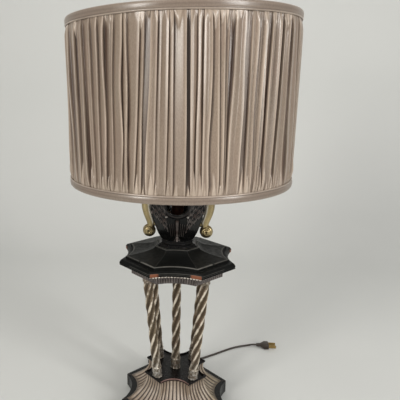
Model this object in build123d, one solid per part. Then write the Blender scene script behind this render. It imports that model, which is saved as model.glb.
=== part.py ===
from build123d import *
import math
import os

# Candlestick table lamp. Millimetres, +Z up, origin on the table under the middle of the base.
# A hollow-sided plinth carries four splayed rope columns and a straight centre column; they carry
# a hollow-sided cap, an urn with two brass handles, and inside a pleated drum shade the harp,
# socket and bulb. One threaded rod clamps the whole stack.

# A plan is (half width to the ends of a hollow side, half chord of that side, sagitta of its arc).

# Base
FELT_T = 2.0
FELT_IN = 3.0
PLINTH_PLAN = (96.0, 40.4, 13.0)
PLINTH_H = 25.0
PLINTH_WALL = 6.0
PLINTH_ROOF = 7.0
WEIGHT_R = 62.0
WEIGHT_BORE_R = 24.0
WEIGHT_T = 10.0
SKIRT_FOOT = (86.0, 36.0, 14.5)
SKIRT_TOP = (52.0, 22.8, 11.5)
SKIRT_H = 41.0
SKIRT_FLARE = 1.9
SKIRT_WALL = 4.0
PLATE_PLAN = (55.0, 24.5, 13.0)
PLATE_T = 6.0
PLATE_LIP_W = 2.8
PLATE_LIP_H = 3.0

# Columns
COLUMN_L = 195.0
COLUMN_R = 7.6
COLUMN_FOOT_R = 8.4
COLUMN_FOOT_H = 9.0
COLUMN_HEAD_H = 5.0
FOOT_INSET = 11.8         # base plate's diagonal side to an outer column's axis
HEAD_INSET = 9.2          # the same under the cove
COLUMN_OVER = 6.0         # extra length that the level end cuts take off

# Cap
COVE_FOOT = (77.2, 31.9, 8.0)
COVE_TOP = (88.0, 37.0, 8.5)
COVE_H = 18.0
COVE_ROUND = 0.98         # share of a quarter round that the cove takes
COVE_WALL = 4.0
RIM_PLAN = (96.0, 42.0, 9.0)
RIM_H = 6.5
RIM_NOSE = 1.5
RIM_TOP_IN = 3.5          # the rim's sloping top draws in this far
RIM_TOP_H = 3.6           # and rises this far
GROOVE_H = 0.8
PLATEAU_LIP = 1.2
PLATEAU_PLAN = (85.0, 34.2, 8.2)
PLATEAU_RISE = 7.5
ROOF_TOP = (37.5, 17.6, 2.0)
ROOF_RISE = 13.5
ROOF_HOLLOW = 2.2         # how late the hollow roof rises
CAP_WALL = 5.0

# Urn
FOOT_PLAN = (33.0, 15.0, 2.0)
NECK_PLAN = (26.5, 12.4, 1.5)
FOOT_H = 11.5
FOOT_EDGE_H = 2.2
FOOT_STEP = (3.5, 3.6)    # inset and height of the foot's moulding
FOOT_WAIST = (0.8, 6.5)   # the same of its waist
URN_PROFILE = ((0.0, 26.5), (5.0, 30.0), (11.0, 34.5), (19.0, 38.3), (29.0, 41.3),
               (41.0, 43.6), (54.0, 45.2), (72.0, 47.0))   # height above the foot, half width
URN_SIDE = 0.39           # half chord of a side as a share of the half width
URN_SAG = 0.07            # sagitta of a side as a share of the half width
URN_WALL = 4.5
URN_FLOOR = 5.0
OVER = 1.0                # how far a cut runs past the face that it opens
NOTCH_R = 17.5            # round notch in the rim of each side
NOTCH_BOTTOM = 50.0       # its lowest point above the urn's foot

# Handles
HANDLE_R = 7.75
HANDLE_BALL_R = 10.4
HANDLE_BALL = (48.7, 11.6)            # distance from the axis, height above the urn's foot
HANDLE_LINE = ((44.6, 22.5), (49.6, 42.0), (53.4, 58.0), (48.5, 73.5), (38.0, 77.5), (30.5, 69.0))
HANDLE_ARCS = (40.0, 30.0, 8.0, 8.0)
HANDLE_TIP_R = 8.6
NOTCH_GAP = 0.3           # handle to the notch's bottom
HANDLE_LUG_R = 5.0
HANDLE_LUG_X = 30.0

# Rod, stem and harp
ROD_R = 4.85
ROD_BORE_R = 3.2
ROD_CLEARANCE = 0.35
STEM_R = 10.5
STEM_L = 97.0
CHECK_RING_R = 17.0
CHECK_RING_T = 4.0
CHECK_RING_PROFILE = ((0.0, 2.5), (1.5, 0.0), (2.8, 0.0), (4.0, 1.2))  # height, inset from its radius
SADDLE_T = 1.6
SADDLE_W = 12.0
SADDLE_DISC_R = 12.0
SADDLE_BEND = 4.0         # the strip turns up this far inside the legs
LEG_X = 27.0              # harp leg to lamp axis
WIRE_R = 1.9
PIN_FOOT_Z = 22.0         # height of a saddle pin's foot above the saddle
PIN_L = 9.0
PIN_COLLAR_H = 2.0
HARP_H = 234.0            # saddle's underside to the harp's seat, where the shade rests
HARP_HALF_W = 57.0
HARP_RISE = (32.0, 88.0)  # shoulder and widest point above the legs' straight part
HARP_DROP = (34.0, 6.0)   # upper side and crown's end below the crown
HARP_IN = (7.0, 8.0, 30.0)             # shoulder, upper side and crown's end inside the half width
HARP_PEAK = 3.0           # the crown's middle above its height
HARP_ARCS = (22.0, 50.0, 70.0, 40.0, 30.0)
HARP_BOSS_R = 3.6
CROWN_BITE = 0.6          # the boss and seat bite into the wire
HARP_SEAT_R = 8.0
HARP_SEAT_T = 2.0
STUD_R = 3.1
STUD_L = 16.0
FERRULE_R = 3.7
FERRULE_L = 14.0
FERRULE_TRAVEL = 12.0
SLIDE_CLEARANCE = 0.2

# Socket and bulb
SOCKET_R = 17.4
SOCKET_WALL = 0.7
CAP_H = 18.0
CAP_PROFILE = ((0.0, 7.4), (3.0, 6.4), (9.0, 0.9), (12.0, 0.0))  # height, inset from the socket's radius
CAP_INNER = ((11.5, 8.4), (15.0, 1.0))
ROD_END = 11.0            # the rod's end above the socket cap's bottom
SHELL_H = 44.0
LINER_WALL = 0.8
LINER_GAP = 0.1
LINER_RISE = 1.5          # the liner shows above the shell
CORE_GAP = 1.2            # core to liner
CORE_FOOT_H = 3.0
CORE_RAISE = 2.0          # where the switch's height is counted from, above the shell's bottom
CORE_H = 17.0
THREAD_STEP = 0.4         # screw shell inside the core's edge
THREAD_WALL = 0.6
THREAD_H = 25.0
CONTACT_R = 4.0
CONTACT_H = 1.2
THREAD_FLOOR_T = 0.6
THREAD_FLOOR_BORE = 8.0
BULB_FIT = 0.4            # bulb's base to the screw shell
BULB_LIFT = 0.3           # bulb's contact above the socket's
BULB_BASE_H = 25.0
BULB_BASE_PROFILE = ((0.0, 9.2), (2.0, 7.2), (4.0, 2.2), (6.0, 0.0))  # height, inset from its radius
BULB_R = 30.0
BULB_L = 84.0             # glass only
BULB_WALL = 1.0
BULB_NECK = ((0.0, 0.6), (9.0, 2.4), (26.0, 8.3))  # height above the base, outset from its radius
KNOB_SHAFT_R = 1.6
KNOB_R = 5.5
KNOB_L = 13.0
KNOB_Z = 9.0              # above the bottom of the socket's core
KNOB_OUT = 4.0            # gap from the shell to the knob
KNOB_T = 3.4
KNOB_BOSS_R = 3.7
KNOB_ROUND = 2.5
KNOB_HOLE_GAP = 0.6       # knob's shaft to the shell and liner
KNOB_SHAFT_IN = 5.5       # depth of the shaft in the core
KNOB_BORE_END = 0.5       # the core's bore runs on past the shaft
TURN_CLEARANCE = 0.1

# Shade
SHADE_R = 178.0
SHADE_H = 254.3
SHADE_DROP = 238.5        # harp's seat to the shade's bottom
TRIM_H = 11.0
TRIM_T = 1.1
COVER_T = 2.2
RING_WIRE_R = 1.6
RIB_R = 1.2
RIB_GAP = 0.05
RIB_COUNT = 6
LINING_T = 0.8
LINING_IN = (0.5, 4.0)    # lining short of the cover at the bottom and the top
ARM_R = 1.2
ARM_ROOT = 2.5            # an arm starts this far inside the hub's edge
ARM_HOLE_R = 3.0
ARM_GAP = 0.1
LAYER_GAP = 0.35
SPIDER_ARMS = 3
SPIDER_HUB_R = 9.0
SPIDER_HUB_T = 2.4
REST_GAP = 0.2            # running gap under the spider's hub and under the finial

# Finial: height and radius
FINIAL_PROFILE = ((0.0, 7.4), (2.0, 7.4), (4.0, 5.2), (7.0, 4.4), (9.0, 6.6), (10.5, 6.6), (12.5, 4.2),
                  (16.0, 6.0), (20.0, 7.8), (25.0, 7.2), (29.5, 4.4), (31.5, 2.0), (33.0, 0.0))
STUD_FIT = 0.08           # finial on the harp's stud
STUD_PASS = 0.15          # spider's hub on the stud

# Fasteners
SCREW_R = 2.0
SCREW_HOLE_R = 2.2
SCREW_HEAD_R = 3.6
SCREW_HEAD_H = 2.6
SCREW_BITE = 11.0
SCREW_BITE_WEIGHT = 4.5
TAP_GAP = 0.05            # tapped holes and nuts on their threads
TAP_END = 0.5             # a tapped hole runs on past its screw
NUT_R = 9.2
NUT_T = 4.0
WASHER_R = 13.0
WASHER_T = 1.5

# Cord
CORD_R = 2.1
EXIT_Z = 7.5
BUSHING_R = 3.9
BUSHING_FLANGE_R = 5.2
BUSHING_OUT = 2.5
BUSHING_CLEARANCE = 0.15
BUSHING_IN = 1.5          # its sleeve passes the wall's inner face
BUSHING_SEAT = 0.6        # depth of the flange's seat in the hollow side
BUSHING_TAPER = 0.4
LEAD_Z = 5.6
LEAD_RISE = (30.0, 14.0)  # the hidden lead starts and ends its rise this far before the seat
LEAD_ARCS = (8.0, 30.0, 30.0)
LEAD_END = 1.0            # it ends this far above the rod
HANK_X = -2.0             # middle of the hank
HANK_HALF_L = 36.0        # half length of its straight runs
HANK_FOLD = 9.0           # radius of the innermost fold
HANK_PITCH = 4.8          # one turn to the next
HANK_LAYER = 4.75         # lower layer to upper layer
HANK_RUNS = 5             # runs in each layer; one more climbs between them
HANK_WAIST = 2.0          # how far the tie draws the runs in
HANK_CLIMB = (0, 0.32, 0.68, 1)        # how far the climbing run has risen at its four bends
HANK_BEND_X = 17.0        # where the runs start to draw in, from the tie
HANK_NIP_X = 6.0          # where they are drawn in fully, from the tie
HANK_GAP = 1.5            # plinth's back corners to the nearest run's skin
HANK_LIFT = 1.2           # the tie passes under the hank
HANK_START_X = -20.0      # where the first run takes over from the cord's start
TIE_X = 10.0
TIE_T = 0.8
TIE_W = 7.0
TIE_GAP = 0.3
TIE_ROUND = (2.0, 1.2)    # outer and inner corner
# The cord's last fold and its way to the plug: across, back from the hank's middle line, up
CORD_OUT = ((-46.9, -19.8, 8.05), (-59.5, -7.2, 7.8), (-59.5, 10.6, 6.0), (-46.9, 23.2, 3.0),
            (-30.0, 24.4, 2.1), (-12.0, 23.7, 2.1), (6.0, 23.6, 2.1), (20.0, 24.3, 2.1),
            (33.0, 25.6, 2.1), (45.0, 28.6, 2.1), (57.0, 34.6, 2.1), (70.0, 44.2, 2.1),
            (84.0, 54.2, 2.1), (98.0, 65.2, 2.1), (113.0, 76.6, 2.1), (128.0, 86.4, 2.1),
            (144.0, 94.2, 2.1), (158.0, 97.2, 3.2), (168.5, 97.3, 6.0))
PLUG_AT = (177.0, 97.3)
PLUG_L = 26.0
PLUG_W = 23.0
PLUG_T = 12.0
PLUG_ROUND = 5.0
PLUG_EDGE = 1.2
BLADE_L = 16.0
BLADE_W = 6.3
BLADE_T = 1.5
BLADE_SPACING = 12.7

# Heights that follow
PLINTH_TOP = FELT_T + PLINTH_H
PLINTH_CEILING = PLINTH_TOP - PLINTH_ROOF
SKIRT_TOP_Z = PLINTH_TOP + SKIRT_H
DECK_Z = SKIRT_TOP_Z + PLATE_T
COVE_Z = DECK_Z + COLUMN_L
CAP_Z = COVE_Z + COVE_H
PLATEAU_Z = CAP_Z + RIM_H + PLATEAU_RISE
ROOF_Z = PLATEAU_Z + ROOF_RISE
URN_Z = ROOF_Z + FOOT_H
STEM_TOP = URN_Z + URN_FLOOR + STEM_L
SADDLE_Z = STEM_TOP + CHECK_RING_T
SOCKET_Z = SADDLE_Z + SADDLE_T
SHELL_Z = SOCKET_Z + CAP_H
CORE_Z = SHELL_Z + CORE_RAISE
THREAD_Z = CORE_Z + CORE_H
ROD_TOP = SOCKET_Z + ROD_END
ROD_BOTTOM = PLINTH_CEILING - WASHER_T - NUT_T - OVER
HARP_SEAT = SADDLE_Z + HARP_H
SHADE_Z = HARP_SEAT - SHADE_DROP
SHADE_TOP = SHADE_Z + SHADE_H
HUB_Z = HARP_SEAT + REST_GAP
FINIAL_Z = HUB_Z + SPIDER_HUB_T + REST_GAP

# Fits that follow
ROD_HOLE_R = ROD_R + ROD_CLEARANCE
SPREAD_BOTTOM = (PLATE_PLAN[0] + PLATE_PLAN[1]) / math.sqrt(2) - FOOT_INSET
SPREAD_TOP = (COVE_FOOT[0] + COVE_FOOT[1]) / math.sqrt(2) - HEAD_INSET
LINER_R = SOCKET_R - SOCKET_WALL - LINER_GAP
CORE_R = LINER_R - LINER_WALL - CORE_GAP
THREAD_R = CORE_R - THREAD_STEP
BULB_BASE_R = THREAD_R - THREAD_WALL - BULB_FIT


# --- helpers ---------------------------------------------------------------------------------

def outline(plan, z):
    """Closed wire of a plan: four hollow arc sides joined by four straight diagonal sides."""
    a, b, sag = plan
    edges = []
    for quarter in range(4):
        turn = Rot(0, 0, 90 * quarter)
        edges.append(turn * ThreePointArc((-b, -a, z), (0, sag - a, z), (b, -a, z)))
        edges.append(turn * Line((b, -a, z), (a, -b, z)))
    return Wire(edges)


def inset(plan, t):
    """The same plan with every side moved in by t."""
    a, b, sag = plan
    return (a - t, b - t * (math.sqrt(2) - 1), sag)


def between(low, high, share):
    """A plan part of the way from one plan to another."""
    return tuple(p + (q - p) * share for p, q in zip(low, high))


def stack(levels):
    """Solid through plans at given heights."""
    return Solid.make_loft([outline(plan, z) for plan, z in levels], ruled=True)


def prism(plan, low, high):
    return stack([(plan, low), (plan, high)])


def rod_shape(r, low, high, x=0.0, y=0.0):
    """Upright cylinder from one height to another."""
    return Pos(x, y, low) * Cylinder(r, high - low, align=(Align.CENTER, Align.CENTER, Align.MIN))


def ring_shape(r_out, r_in, low, high):
    return rod_shape(r_out, low, high) - rod_shape(r_in, low - OVER, high + OVER)


def tube_between(r, start, end):
    """Straight round bar between two points."""
    axis = Vector(*end) - Vector(*start)
    plane = Plane(origin=start, z_dir=axis)
    return plane * Cylinder(r, axis.length, align=(Align.CENTER, Align.CENTER, Align.MIN))


def turned(points):
    """Solid of revolution about the lamp's axis, from (radius, height) points."""
    face = make_face(Polyline(*[(r, 0, z) for r, z in points], close=True))
    return revolve(face, Axis.Z)


def round_wire(points, r, radii):
    """Round bar that follows straight runs joined by arcs."""
    path = FilletPolyline(*points, radius=radii)
    section = Plane(origin=path @ 0, z_dir=path % 0) * Circle(r)
    return sweep(section, path=path)


def corner_spots(spread):
    """Places of the four outer columns at a given distance from the lamp's axis."""
    half = spread / math.sqrt(2)
    return [(sx * half, sy * half) for sx, sy in ((-1, -1), (1, -1), (1, 1), (-1, 1))]


def screws(spots, head_z, way, length):
    """Pan-head screws: the head bears at head_z and the shank goes way (+1 up, -1 down)."""
    shank_span = sorted((head_z, head_z + way * length))
    head_span = sorted((head_z, head_z - way * SCREW_HEAD_H))
    return [rod_shape(SCREW_R, *shank_span, x, y) + rod_shape(SCREW_HEAD_R, *head_span, x, y)
            for x, y in spots]


def hex_nut(low, r, bore):
    nut = Pos(0, 0, low) * extrude(RegularPolygon(r, 6), NUT_T)
    return nut - rod_shape(bore, low - OVER, low + NUT_T + OVER)


# --- base ------------------------------------------------------------------------------------

def felt_pad():
    return prism(inset(PLINTH_PLAN, FELT_IN), 0, FELT_T)


def exit_y():
    """Where the plinth's back wall is met by the cord, at the bottom of the bushing's seat."""
    return PLINTH_PLAN[0] - PLINTH_PLAN[2] - BUSHING_SEAT


def plinth():
    body = prism(PLINTH_PLAN, FELT_T, PLINTH_TOP)
    body -= prism(inset(PLINTH_PLAN, PLINTH_WALL), FELT_T - OVER, PLINTH_CEILING)
    body -= rod_shape(ROD_HOLE_R, FELT_T, PLINTH_TOP + OVER)
    wall, outside = exit_y(), exit_y() + PLINTH_WALL
    body -= tube_between(BUSHING_R + BUSHING_CLEARANCE, (0, wall - 2 * PLINTH_WALL, EXIT_Z),
                         (0, outside, EXIT_Z))
    body -= tube_between(BUSHING_FLANGE_R + BUSHING_TAPER, (0, wall, EXIT_Z), (0, outside, EXIT_Z))
    for x, y in weight_spots():
        body -= rod_shape(SCREW_R + TAP_GAP, PLINTH_CEILING - OVER,
                          PLINTH_CEILING + SCREW_BITE_WEIGHT + TAP_END, x, y)
    return body


def weight_spots():
    r = (WEIGHT_R + WEIGHT_BORE_R) / 2
    return [(r * math.cos(math.radians(t)), r * math.sin(math.radians(t))) for t in (30, 150, 270)]


def base_weight():
    ring = ring_shape(WEIGHT_R, WEIGHT_BORE_R, PLINTH_CEILING - WEIGHT_T, PLINTH_CEILING)
    for x, y in weight_spots():
        ring -= rod_shape(SCREW_HOLE_R, PLINTH_CEILING - WEIGHT_T - OVER, PLINTH_CEILING + OVER, x, y)
    return ring


def weight_screws():
    return screws(weight_spots(), PLINTH_CEILING - WEIGHT_T, 1, WEIGHT_T + SCREW_BITE_WEIGHT)


def base_washer():
    return ring_shape(WASHER_R, ROD_HOLE_R, PLINTH_CEILING - WASHER_T, PLINTH_CEILING)


def base_nut():
    return hex_nut(PLINTH_CEILING - WASHER_T - NUT_T, NUT_R, ROD_R + TAP_GAP)


def cord_bushing():
    wall = exit_y()
    inner, mouth = wall - PLINTH_WALL - BUSHING_IN, wall + BUSHING_OUT
    sleeve = tube_between(BUSHING_R, (0, inner, EXIT_Z), (0, wall, EXIT_Z))
    flange = Plane(origin=(0, wall, EXIT_Z), z_dir=(0, 1, 0)) * Cone(
        BUSHING_FLANGE_R, BUSHING_R - BUSHING_TAPER, BUSHING_OUT,
        align=(Align.CENTER, Align.CENTER, Align.MIN))
    bore = tube_between(CORD_R + BUSHING_CLEARANCE, (0, inner - OVER, EXIT_Z), (0, mouth + OVER, EXIT_Z))
    return sleeve + flange - bore


def skirt_levels(t, top_cut, steps=6):
    """Flaring levels of the skirt, moved in by t, ending top_cut below its top."""
    levels = []
    for i in range(steps + 1):
        rise = i / steps
        plan = between(SKIRT_TOP, SKIRT_FOOT, (1 - rise) ** SKIRT_FLARE)
        z = PLINTH_TOP + rise * (SKIRT_H - top_cut)
        levels.append((inset(plan, t), z))
    return levels


def skirt():
    body = stack(skirt_levels(0, 0)) - stack(skirt_levels(SKIRT_WALL, SKIRT_WALL))
    body -= rod_shape(ROD_HOLE_R, PLINTH_TOP, SKIRT_TOP_Z + OVER)
    for x, y in corner_spots(SPREAD_BOTTOM):
        body -= rod_shape(SCREW_HOLE_R, PLINTH_TOP, SKIRT_TOP_Z + OVER, x, y)
    return body


def base_plate():
    body = prism(PLATE_PLAN, SKIRT_TOP_Z, DECK_Z + PLATE_LIP_H)
    body -= prism(inset(PLATE_PLAN, PLATE_LIP_W), DECK_Z, DECK_Z + PLATE_LIP_H + OVER)
    body -= rod_shape(ROD_HOLE_R, SKIRT_TOP_Z - OVER, DECK_Z + OVER)
    for x, y in corner_spots(SPREAD_BOTTOM):
        body -= rod_shape(SCREW_HOLE_R, SKIRT_TOP_Z - OVER, DECK_Z + OVER, x, y)
    return body


def column_screws_lower():
    head_z = SKIRT_TOP_Z - SKIRT_WALL
    return screws(corner_spots(SPREAD_BOTTOM), head_z, 1, SKIRT_WALL + PLATE_T + SCREW_BITE)


# --- columns ---------------------------------------------------------------------------------

def column_shape(bottom, top):
    """Column with a turned foot and head between two floors, its ends cut level."""
    low, high = Vector(*bottom, DECK_Z), Vector(*top, COVE_Z)
    along = (high - low).normalized()
    start, end = low - along * COLUMN_OVER, high + along * COLUMN_OVER
    shaft = tube_between(COLUMN_R, start, end)
    foot = tube_between(COLUMN_FOOT_R, start, low + along * COLUMN_FOOT_H)
    head = tube_between(COLUMN_FOOT_R, high - along * COLUMN_HEAD_H, end)
    width = 4 * PLINTH_PLAN[0]
    block = Pos(0, 0, (DECK_Z + COVE_Z) / 2) * Box(width, width, COLUMN_L)
    return (shaft + foot + head) & block


def outer_column(index):
    bottom, top = corner_spots(SPREAD_BOTTOM)[index], corner_spots(SPREAD_TOP)[index]
    depth = SCREW_BITE + TAP_END
    body = column_shape(bottom, top)
    body -= rod_shape(SCREW_R + TAP_GAP, DECK_Z - OVER, DECK_Z + depth, *bottom)
    return body - rod_shape(SCREW_R + TAP_GAP, COVE_Z - depth, COVE_Z + OVER, *top)


def centre_column():
    return column_shape((0, 0), (0, 0)) - rod_shape(ROD_HOLE_R, DECK_Z - OVER, COVE_Z + OVER)


# --- cap -------------------------------------------------------------------------------------

def cove_levels(t, low_cut, steps=5):
    """Levels of the quarter-round cove, moved in by t, starting low_cut above its foot."""
    levels = []
    for i in range(steps + 1):
        rise = i / steps
        plan = between(COVE_FOOT, COVE_TOP, 1 - math.sqrt(1 - (COVE_ROUND * rise) ** 2))
        levels.append((inset(plan, t), COVE_Z + low_cut + rise * (COVE_H - low_cut)))
    return levels


def capital_cove():
    body = stack(cove_levels(0, 0)) - stack(cove_levels(COVE_WALL, COVE_WALL))
    body -= rod_shape(ROD_HOLE_R, COVE_Z - OVER, COVE_Z + COVE_WALL + OVER)
    for x, y in corner_spots(SPREAD_TOP):
        body -= rod_shape(SCREW_HOLE_R, COVE_Z - OVER, COVE_Z + COVE_WALL + OVER, x, y)
    return body


def column_screws_upper():
    return screws(corner_spots(SPREAD_TOP), COVE_Z + COVE_WALL, -1, COVE_WALL + SCREW_BITE)


def cap_washer():
    low = COVE_Z + COVE_WALL
    return ring_shape(WASHER_R, ROD_HOLE_R, low, low + WASHER_T)


def cap_nut():
    return hex_nut(COVE_Z + COVE_WALL + WASHER_T, NUT_R, ROD_R + TAP_GAP)


def roof_levels(t, drop, steps=6):
    """Levels of the hollow roof, moved in by t and down by drop."""
    levels = []
    for i in range(steps + 1):
        rise = i / steps
        plan = between(PLATEAU_PLAN, ROOF_TOP, 1 - (1 - rise) ** ROOF_HOLLOW)
        levels.append((inset(plan, t), PLATEAU_Z + rise * ROOF_RISE - drop))
    return levels


def cap():
    edge, rim_top = CAP_Z + RIM_H, CAP_Z + RIM_H + RIM_TOP_H
    groove = inset(PLATEAU_PLAN, -PLATEAU_LIP)
    rim = stack([(inset(RIM_PLAN, RIM_NOSE), CAP_Z), (RIM_PLAN, CAP_Z + RIM_NOSE), (RIM_PLAN, edge),
                 (inset(RIM_PLAN, RIM_TOP_IN), rim_top), (groove, rim_top + GROOVE_H),
                 (groove, PLATEAU_Z - PLATEAU_LIP), (PLATEAU_PLAN, PLATEAU_Z)])
    body = rim + stack(roof_levels(0, 0))
    hollow = prism(inset(PLATEAU_PLAN, CAP_WALL), CAP_Z - OVER, PLATEAU_Z - CAP_WALL)
    body -= hollow + stack(roof_levels(CAP_WALL, CAP_WALL))
    return body - rod_shape(ROD_HOLE_R, CAP_Z, ROOF_Z + OVER)


# --- urn and handles -------------------------------------------------------------------------

def urn_foot():
    body = stack([(FOOT_PLAN, ROOF_Z), (FOOT_PLAN, ROOF_Z + FOOT_EDGE_H),
                  (inset(FOOT_PLAN, FOOT_STEP[0]), ROOF_Z + FOOT_STEP[1]),
                  (inset(NECK_PLAN, FOOT_WAIST[0]), ROOF_Z + FOOT_WAIST[1]), (NECK_PLAN, URN_Z)])
    return body - rod_shape(ROD_HOLE_R, ROOF_Z - OVER, URN_Z + OVER)


def urn_plan(half):
    return (half, half * URN_SIDE, half * URN_SAG)


def urn_outer():
    return stack([(urn_plan(half), URN_Z + h) for h, half in URN_PROFILE])


def urn_body():
    """Open bowl with a round notch in the rim of each side."""
    inner = [(inset(urn_plan(half), URN_WALL), URN_Z + h) for h, half in URN_PROFILE[1:]]
    top = URN_Z + URN_PROFILE[-1][0] + OVER
    body = urn_outer() - stack(inner + [(inner[-1][0], top)])
    notch_z = URN_Z + NOTCH_BOTTOM + NOTCH_R
    reach = 2 * URN_PROFILE[-1][1]
    notch = tube_between(NOTCH_R, (0, -reach, notch_z), (0, reach, notch_z))
    notch += Pos(0, 0, (notch_z + top) / 2) * Box(2 * NOTCH_R, 2 * reach, top - notch_z)
    body -= notch + Rot(0, 0, 90) * notch
    return body - rod_shape(ROD_HOLE_R, URN_Z - OVER, URN_Z + URN_FLOOR + OVER)


def handle(side):
    """Brass C handle on one side (-1 left, 1 right): ball at the bottom, small ball at the top."""
    line = [(side * x, 0, URN_Z + h) for x, h in HANDLE_LINE]
    centre = (side * HANDLE_BALL[0], 0, URN_Z + HANDLE_BALL[1])
    shape = round_wire(line, HANDLE_R, HANDLE_ARCS) + tube_between(HANDLE_R, line[0], centre)
    shape += Pos(*centre) * Sphere(HANDLE_BALL_R) + Pos(*line[-1]) * Sphere(HANDLE_TIP_R)
    shape += tube_between(HANDLE_LUG_R, (side * HANDLE_LUG_X, 0, line[0][2]), line[0])
    width = 4 * URN_PROFILE[-1][1]
    below_notch = Pos(0, 0, URN_Z + (NOTCH_BOTTOM - NOTCH_GAP) / 2) * Box(
        width, width, NOTCH_BOTTOM - NOTCH_GAP)
    shape -= urn_outer() & below_notch
    return max(shape.solids(), key=lambda s: s.volume)


# --- rod, stem and harp ----------------------------------------------------------------------

def threaded_rod():
    return ring_shape(ROD_R, ROD_BORE_R, ROD_BOTTOM, ROD_TOP)


def stem_tube():
    return ring_shape(STEM_R, ROD_HOLE_R, URN_Z + URN_FLOOR, STEM_TOP)


def check_ring():
    edge = [(CHECK_RING_R - step, STEM_TOP + h) for h, step in CHECK_RING_PROFILE]
    return turned([(ROD_HOLE_R, edge[0][1]), *edge, (ROD_HOLE_R, edge[-1][1])])


def harp_saddle():
    """Pressed strip with an upright arm and a pin at each end."""
    top, pin_z = SADDLE_Z + SADDLE_T, SADDLE_Z + PIN_FOOT_Z
    bend_x = LEG_X - SADDLE_BEND
    body = rod_shape(SADDLE_DISC_R, SADDLE_Z, top)
    body += Pos(0, 0, SADDLE_Z + SADDLE_T / 2) * Box(2 * bend_x, SADDLE_W, SADDLE_T)
    for side in (-1, 1):
        foot = (side * (bend_x - SADDLE_T / 2), 0, SADDLE_Z)
        head = (side * LEG_X, 0, pin_z - 0.75 * PIN_COLLAR_H)
        rise = Vector(*head) - Vector(*foot)
        arm_plane = Plane(origin=foot, x_dir=(0, 1, 0), z_dir=rise)
        body += arm_plane * Box(SADDLE_W, SADDLE_T, rise.length,
                                align=(Align.CENTER, Align.CENTER, Align.MIN))
        body += rod_shape(FERRULE_R, pin_z - PIN_COLLAR_H, pin_z, side * LEG_X)
        body += rod_shape(WIRE_R, pin_z, pin_z + PIN_L, side * LEG_X)
    return body - rod_shape(ROD_HOLE_R, SADDLE_Z - OVER, top + OVER)


def leg_z():
    """Bottom of a harp leg, on the saddle's pin."""
    return SADDLE_Z + PIN_FOOT_Z + PIN_L


def harp():
    """Wire loop in the XZ plane with a seat and a threaded stud on its crown."""
    seat_bottom = HARP_SEAT - HARP_SEAT_T
    crown = seat_bottom - WIRE_R + CROWN_BITE
    straight = leg_z() + FERRULE_L + FERRULE_TRAVEL
    shoulder, upper, end = (HARP_HALF_W - step for step in HARP_IN)
    half = [(LEG_X, leg_z()), (LEG_X, straight), (shoulder, straight + HARP_RISE[0]),
            (HARP_HALF_W, straight + HARP_RISE[1]), (upper, crown - HARP_DROP[0]),
            (end, crown - HARP_DROP[1])]
    line = [(x, 0, z) for x, z in half] + [(0, 0, crown + HARP_PEAK)]
    line += [(-x, 0, z) for x, z in reversed(half)]
    body = round_wire(line, WIRE_R, [*HARP_ARCS, HARP_ARCS[-2], *reversed(HARP_ARCS)])
    body += rod_shape(HARP_SEAT_R, seat_bottom, HARP_SEAT)
    body += rod_shape(HARP_BOSS_R, crown - WIRE_R + CROWN_BITE, seat_bottom)
    return body + rod_shape(STUD_R, HARP_SEAT, HARP_SEAT + STUD_L)


def ferrule(side):
    low = SADDLE_Z + PIN_FOOT_Z
    sleeve = ring_shape(FERRULE_R, WIRE_R + SLIDE_CLEARANCE, low, low + FERRULE_L)
    return Pos(side * LEG_X, 0, 0) * sleeve


# --- socket and bulb -------------------------------------------------------------------------

def socket_cap():
    outer = [(SOCKET_R - step, SOCKET_Z + h) for h, step in CAP_PROFILE]
    inner = [(SOCKET_R - step, SOCKET_Z + h) for h, step in CAP_INNER]
    body = turned([(0, SOCKET_Z), *outer, (SOCKET_R, SHELL_Z), (0, SHELL_Z)])
    body -= turned([(0, inner[0][1]), *inner, (inner[-1][0], SHELL_Z + OVER), (0, SHELL_Z + OVER)])
    return body - rod_shape(ROD_R + TAP_GAP, SOCKET_Z - OVER, SHELL_Z)


def knob_z():
    return CORE_Z + KNOB_Z


def knob_hole():
    """Cut for the knob's shaft through the socket's front."""
    return tube_between(KNOB_SHAFT_R + KNOB_HOLE_GAP, (0, -SOCKET_R - OVER, knob_z()), (0, 0, knob_z()))


def socket_shell():
    return ring_shape(SOCKET_R, SOCKET_R - SOCKET_WALL, SHELL_Z, SHELL_Z + SHELL_H) - knob_hole()


def socket_liner():
    top = SHELL_Z + SHELL_H + LINER_RISE
    return ring_shape(LINER_R, LINER_R - LINER_WALL, SHELL_Z, top) - knob_hole()


def socket_core():
    """Insulating block with the switch: its foot ring stands on the cap's shoulder inside the liner."""
    body = rod_shape(CORE_R, SHELL_Z, THREAD_Z)
    body += ring_shape(LINER_R - LINER_WALL - LINER_GAP, CORE_R - OVER, SHELL_Z, SHELL_Z + CORE_FOOT_H)
    bore_end = -CORE_R + KNOB_SHAFT_IN + KNOB_BORE_END
    return body - tube_between(KNOB_SHAFT_R + TURN_CLEARANCE, (0, -CORE_R - OVER, knob_z()),
                               (0, bore_end, knob_z()))


def screw_shell():
    body = ring_shape(THREAD_R, THREAD_R - THREAD_WALL, THREAD_Z, THREAD_Z + THREAD_H)
    body += ring_shape(THREAD_R, THREAD_FLOOR_BORE, THREAD_Z, THREAD_Z + THREAD_FLOOR_T)
    return body + rod_shape(CONTACT_R, THREAD_Z, THREAD_Z + CONTACT_H)


def switch_knob():
    face = -SOCKET_R - KNOB_OUT
    tip, middle = face - KNOB_L, face - KNOB_L / 2
    shaft = tube_between(KNOB_SHAFT_R, (0, -CORE_R + KNOB_SHAFT_IN, knob_z()), (0, middle, knob_z()))
    boss = tube_between(KNOB_BOSS_R, (0, face, knob_z()), (0, middle, knob_z()))
    key = Pos(0, (face + tip) / 2, knob_z()) * Box(KNOB_T, KNOB_L, 2 * KNOB_R)
    return shaft + boss + fillet(key.edges().filter_by(Axis.X), KNOB_ROUND)


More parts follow.
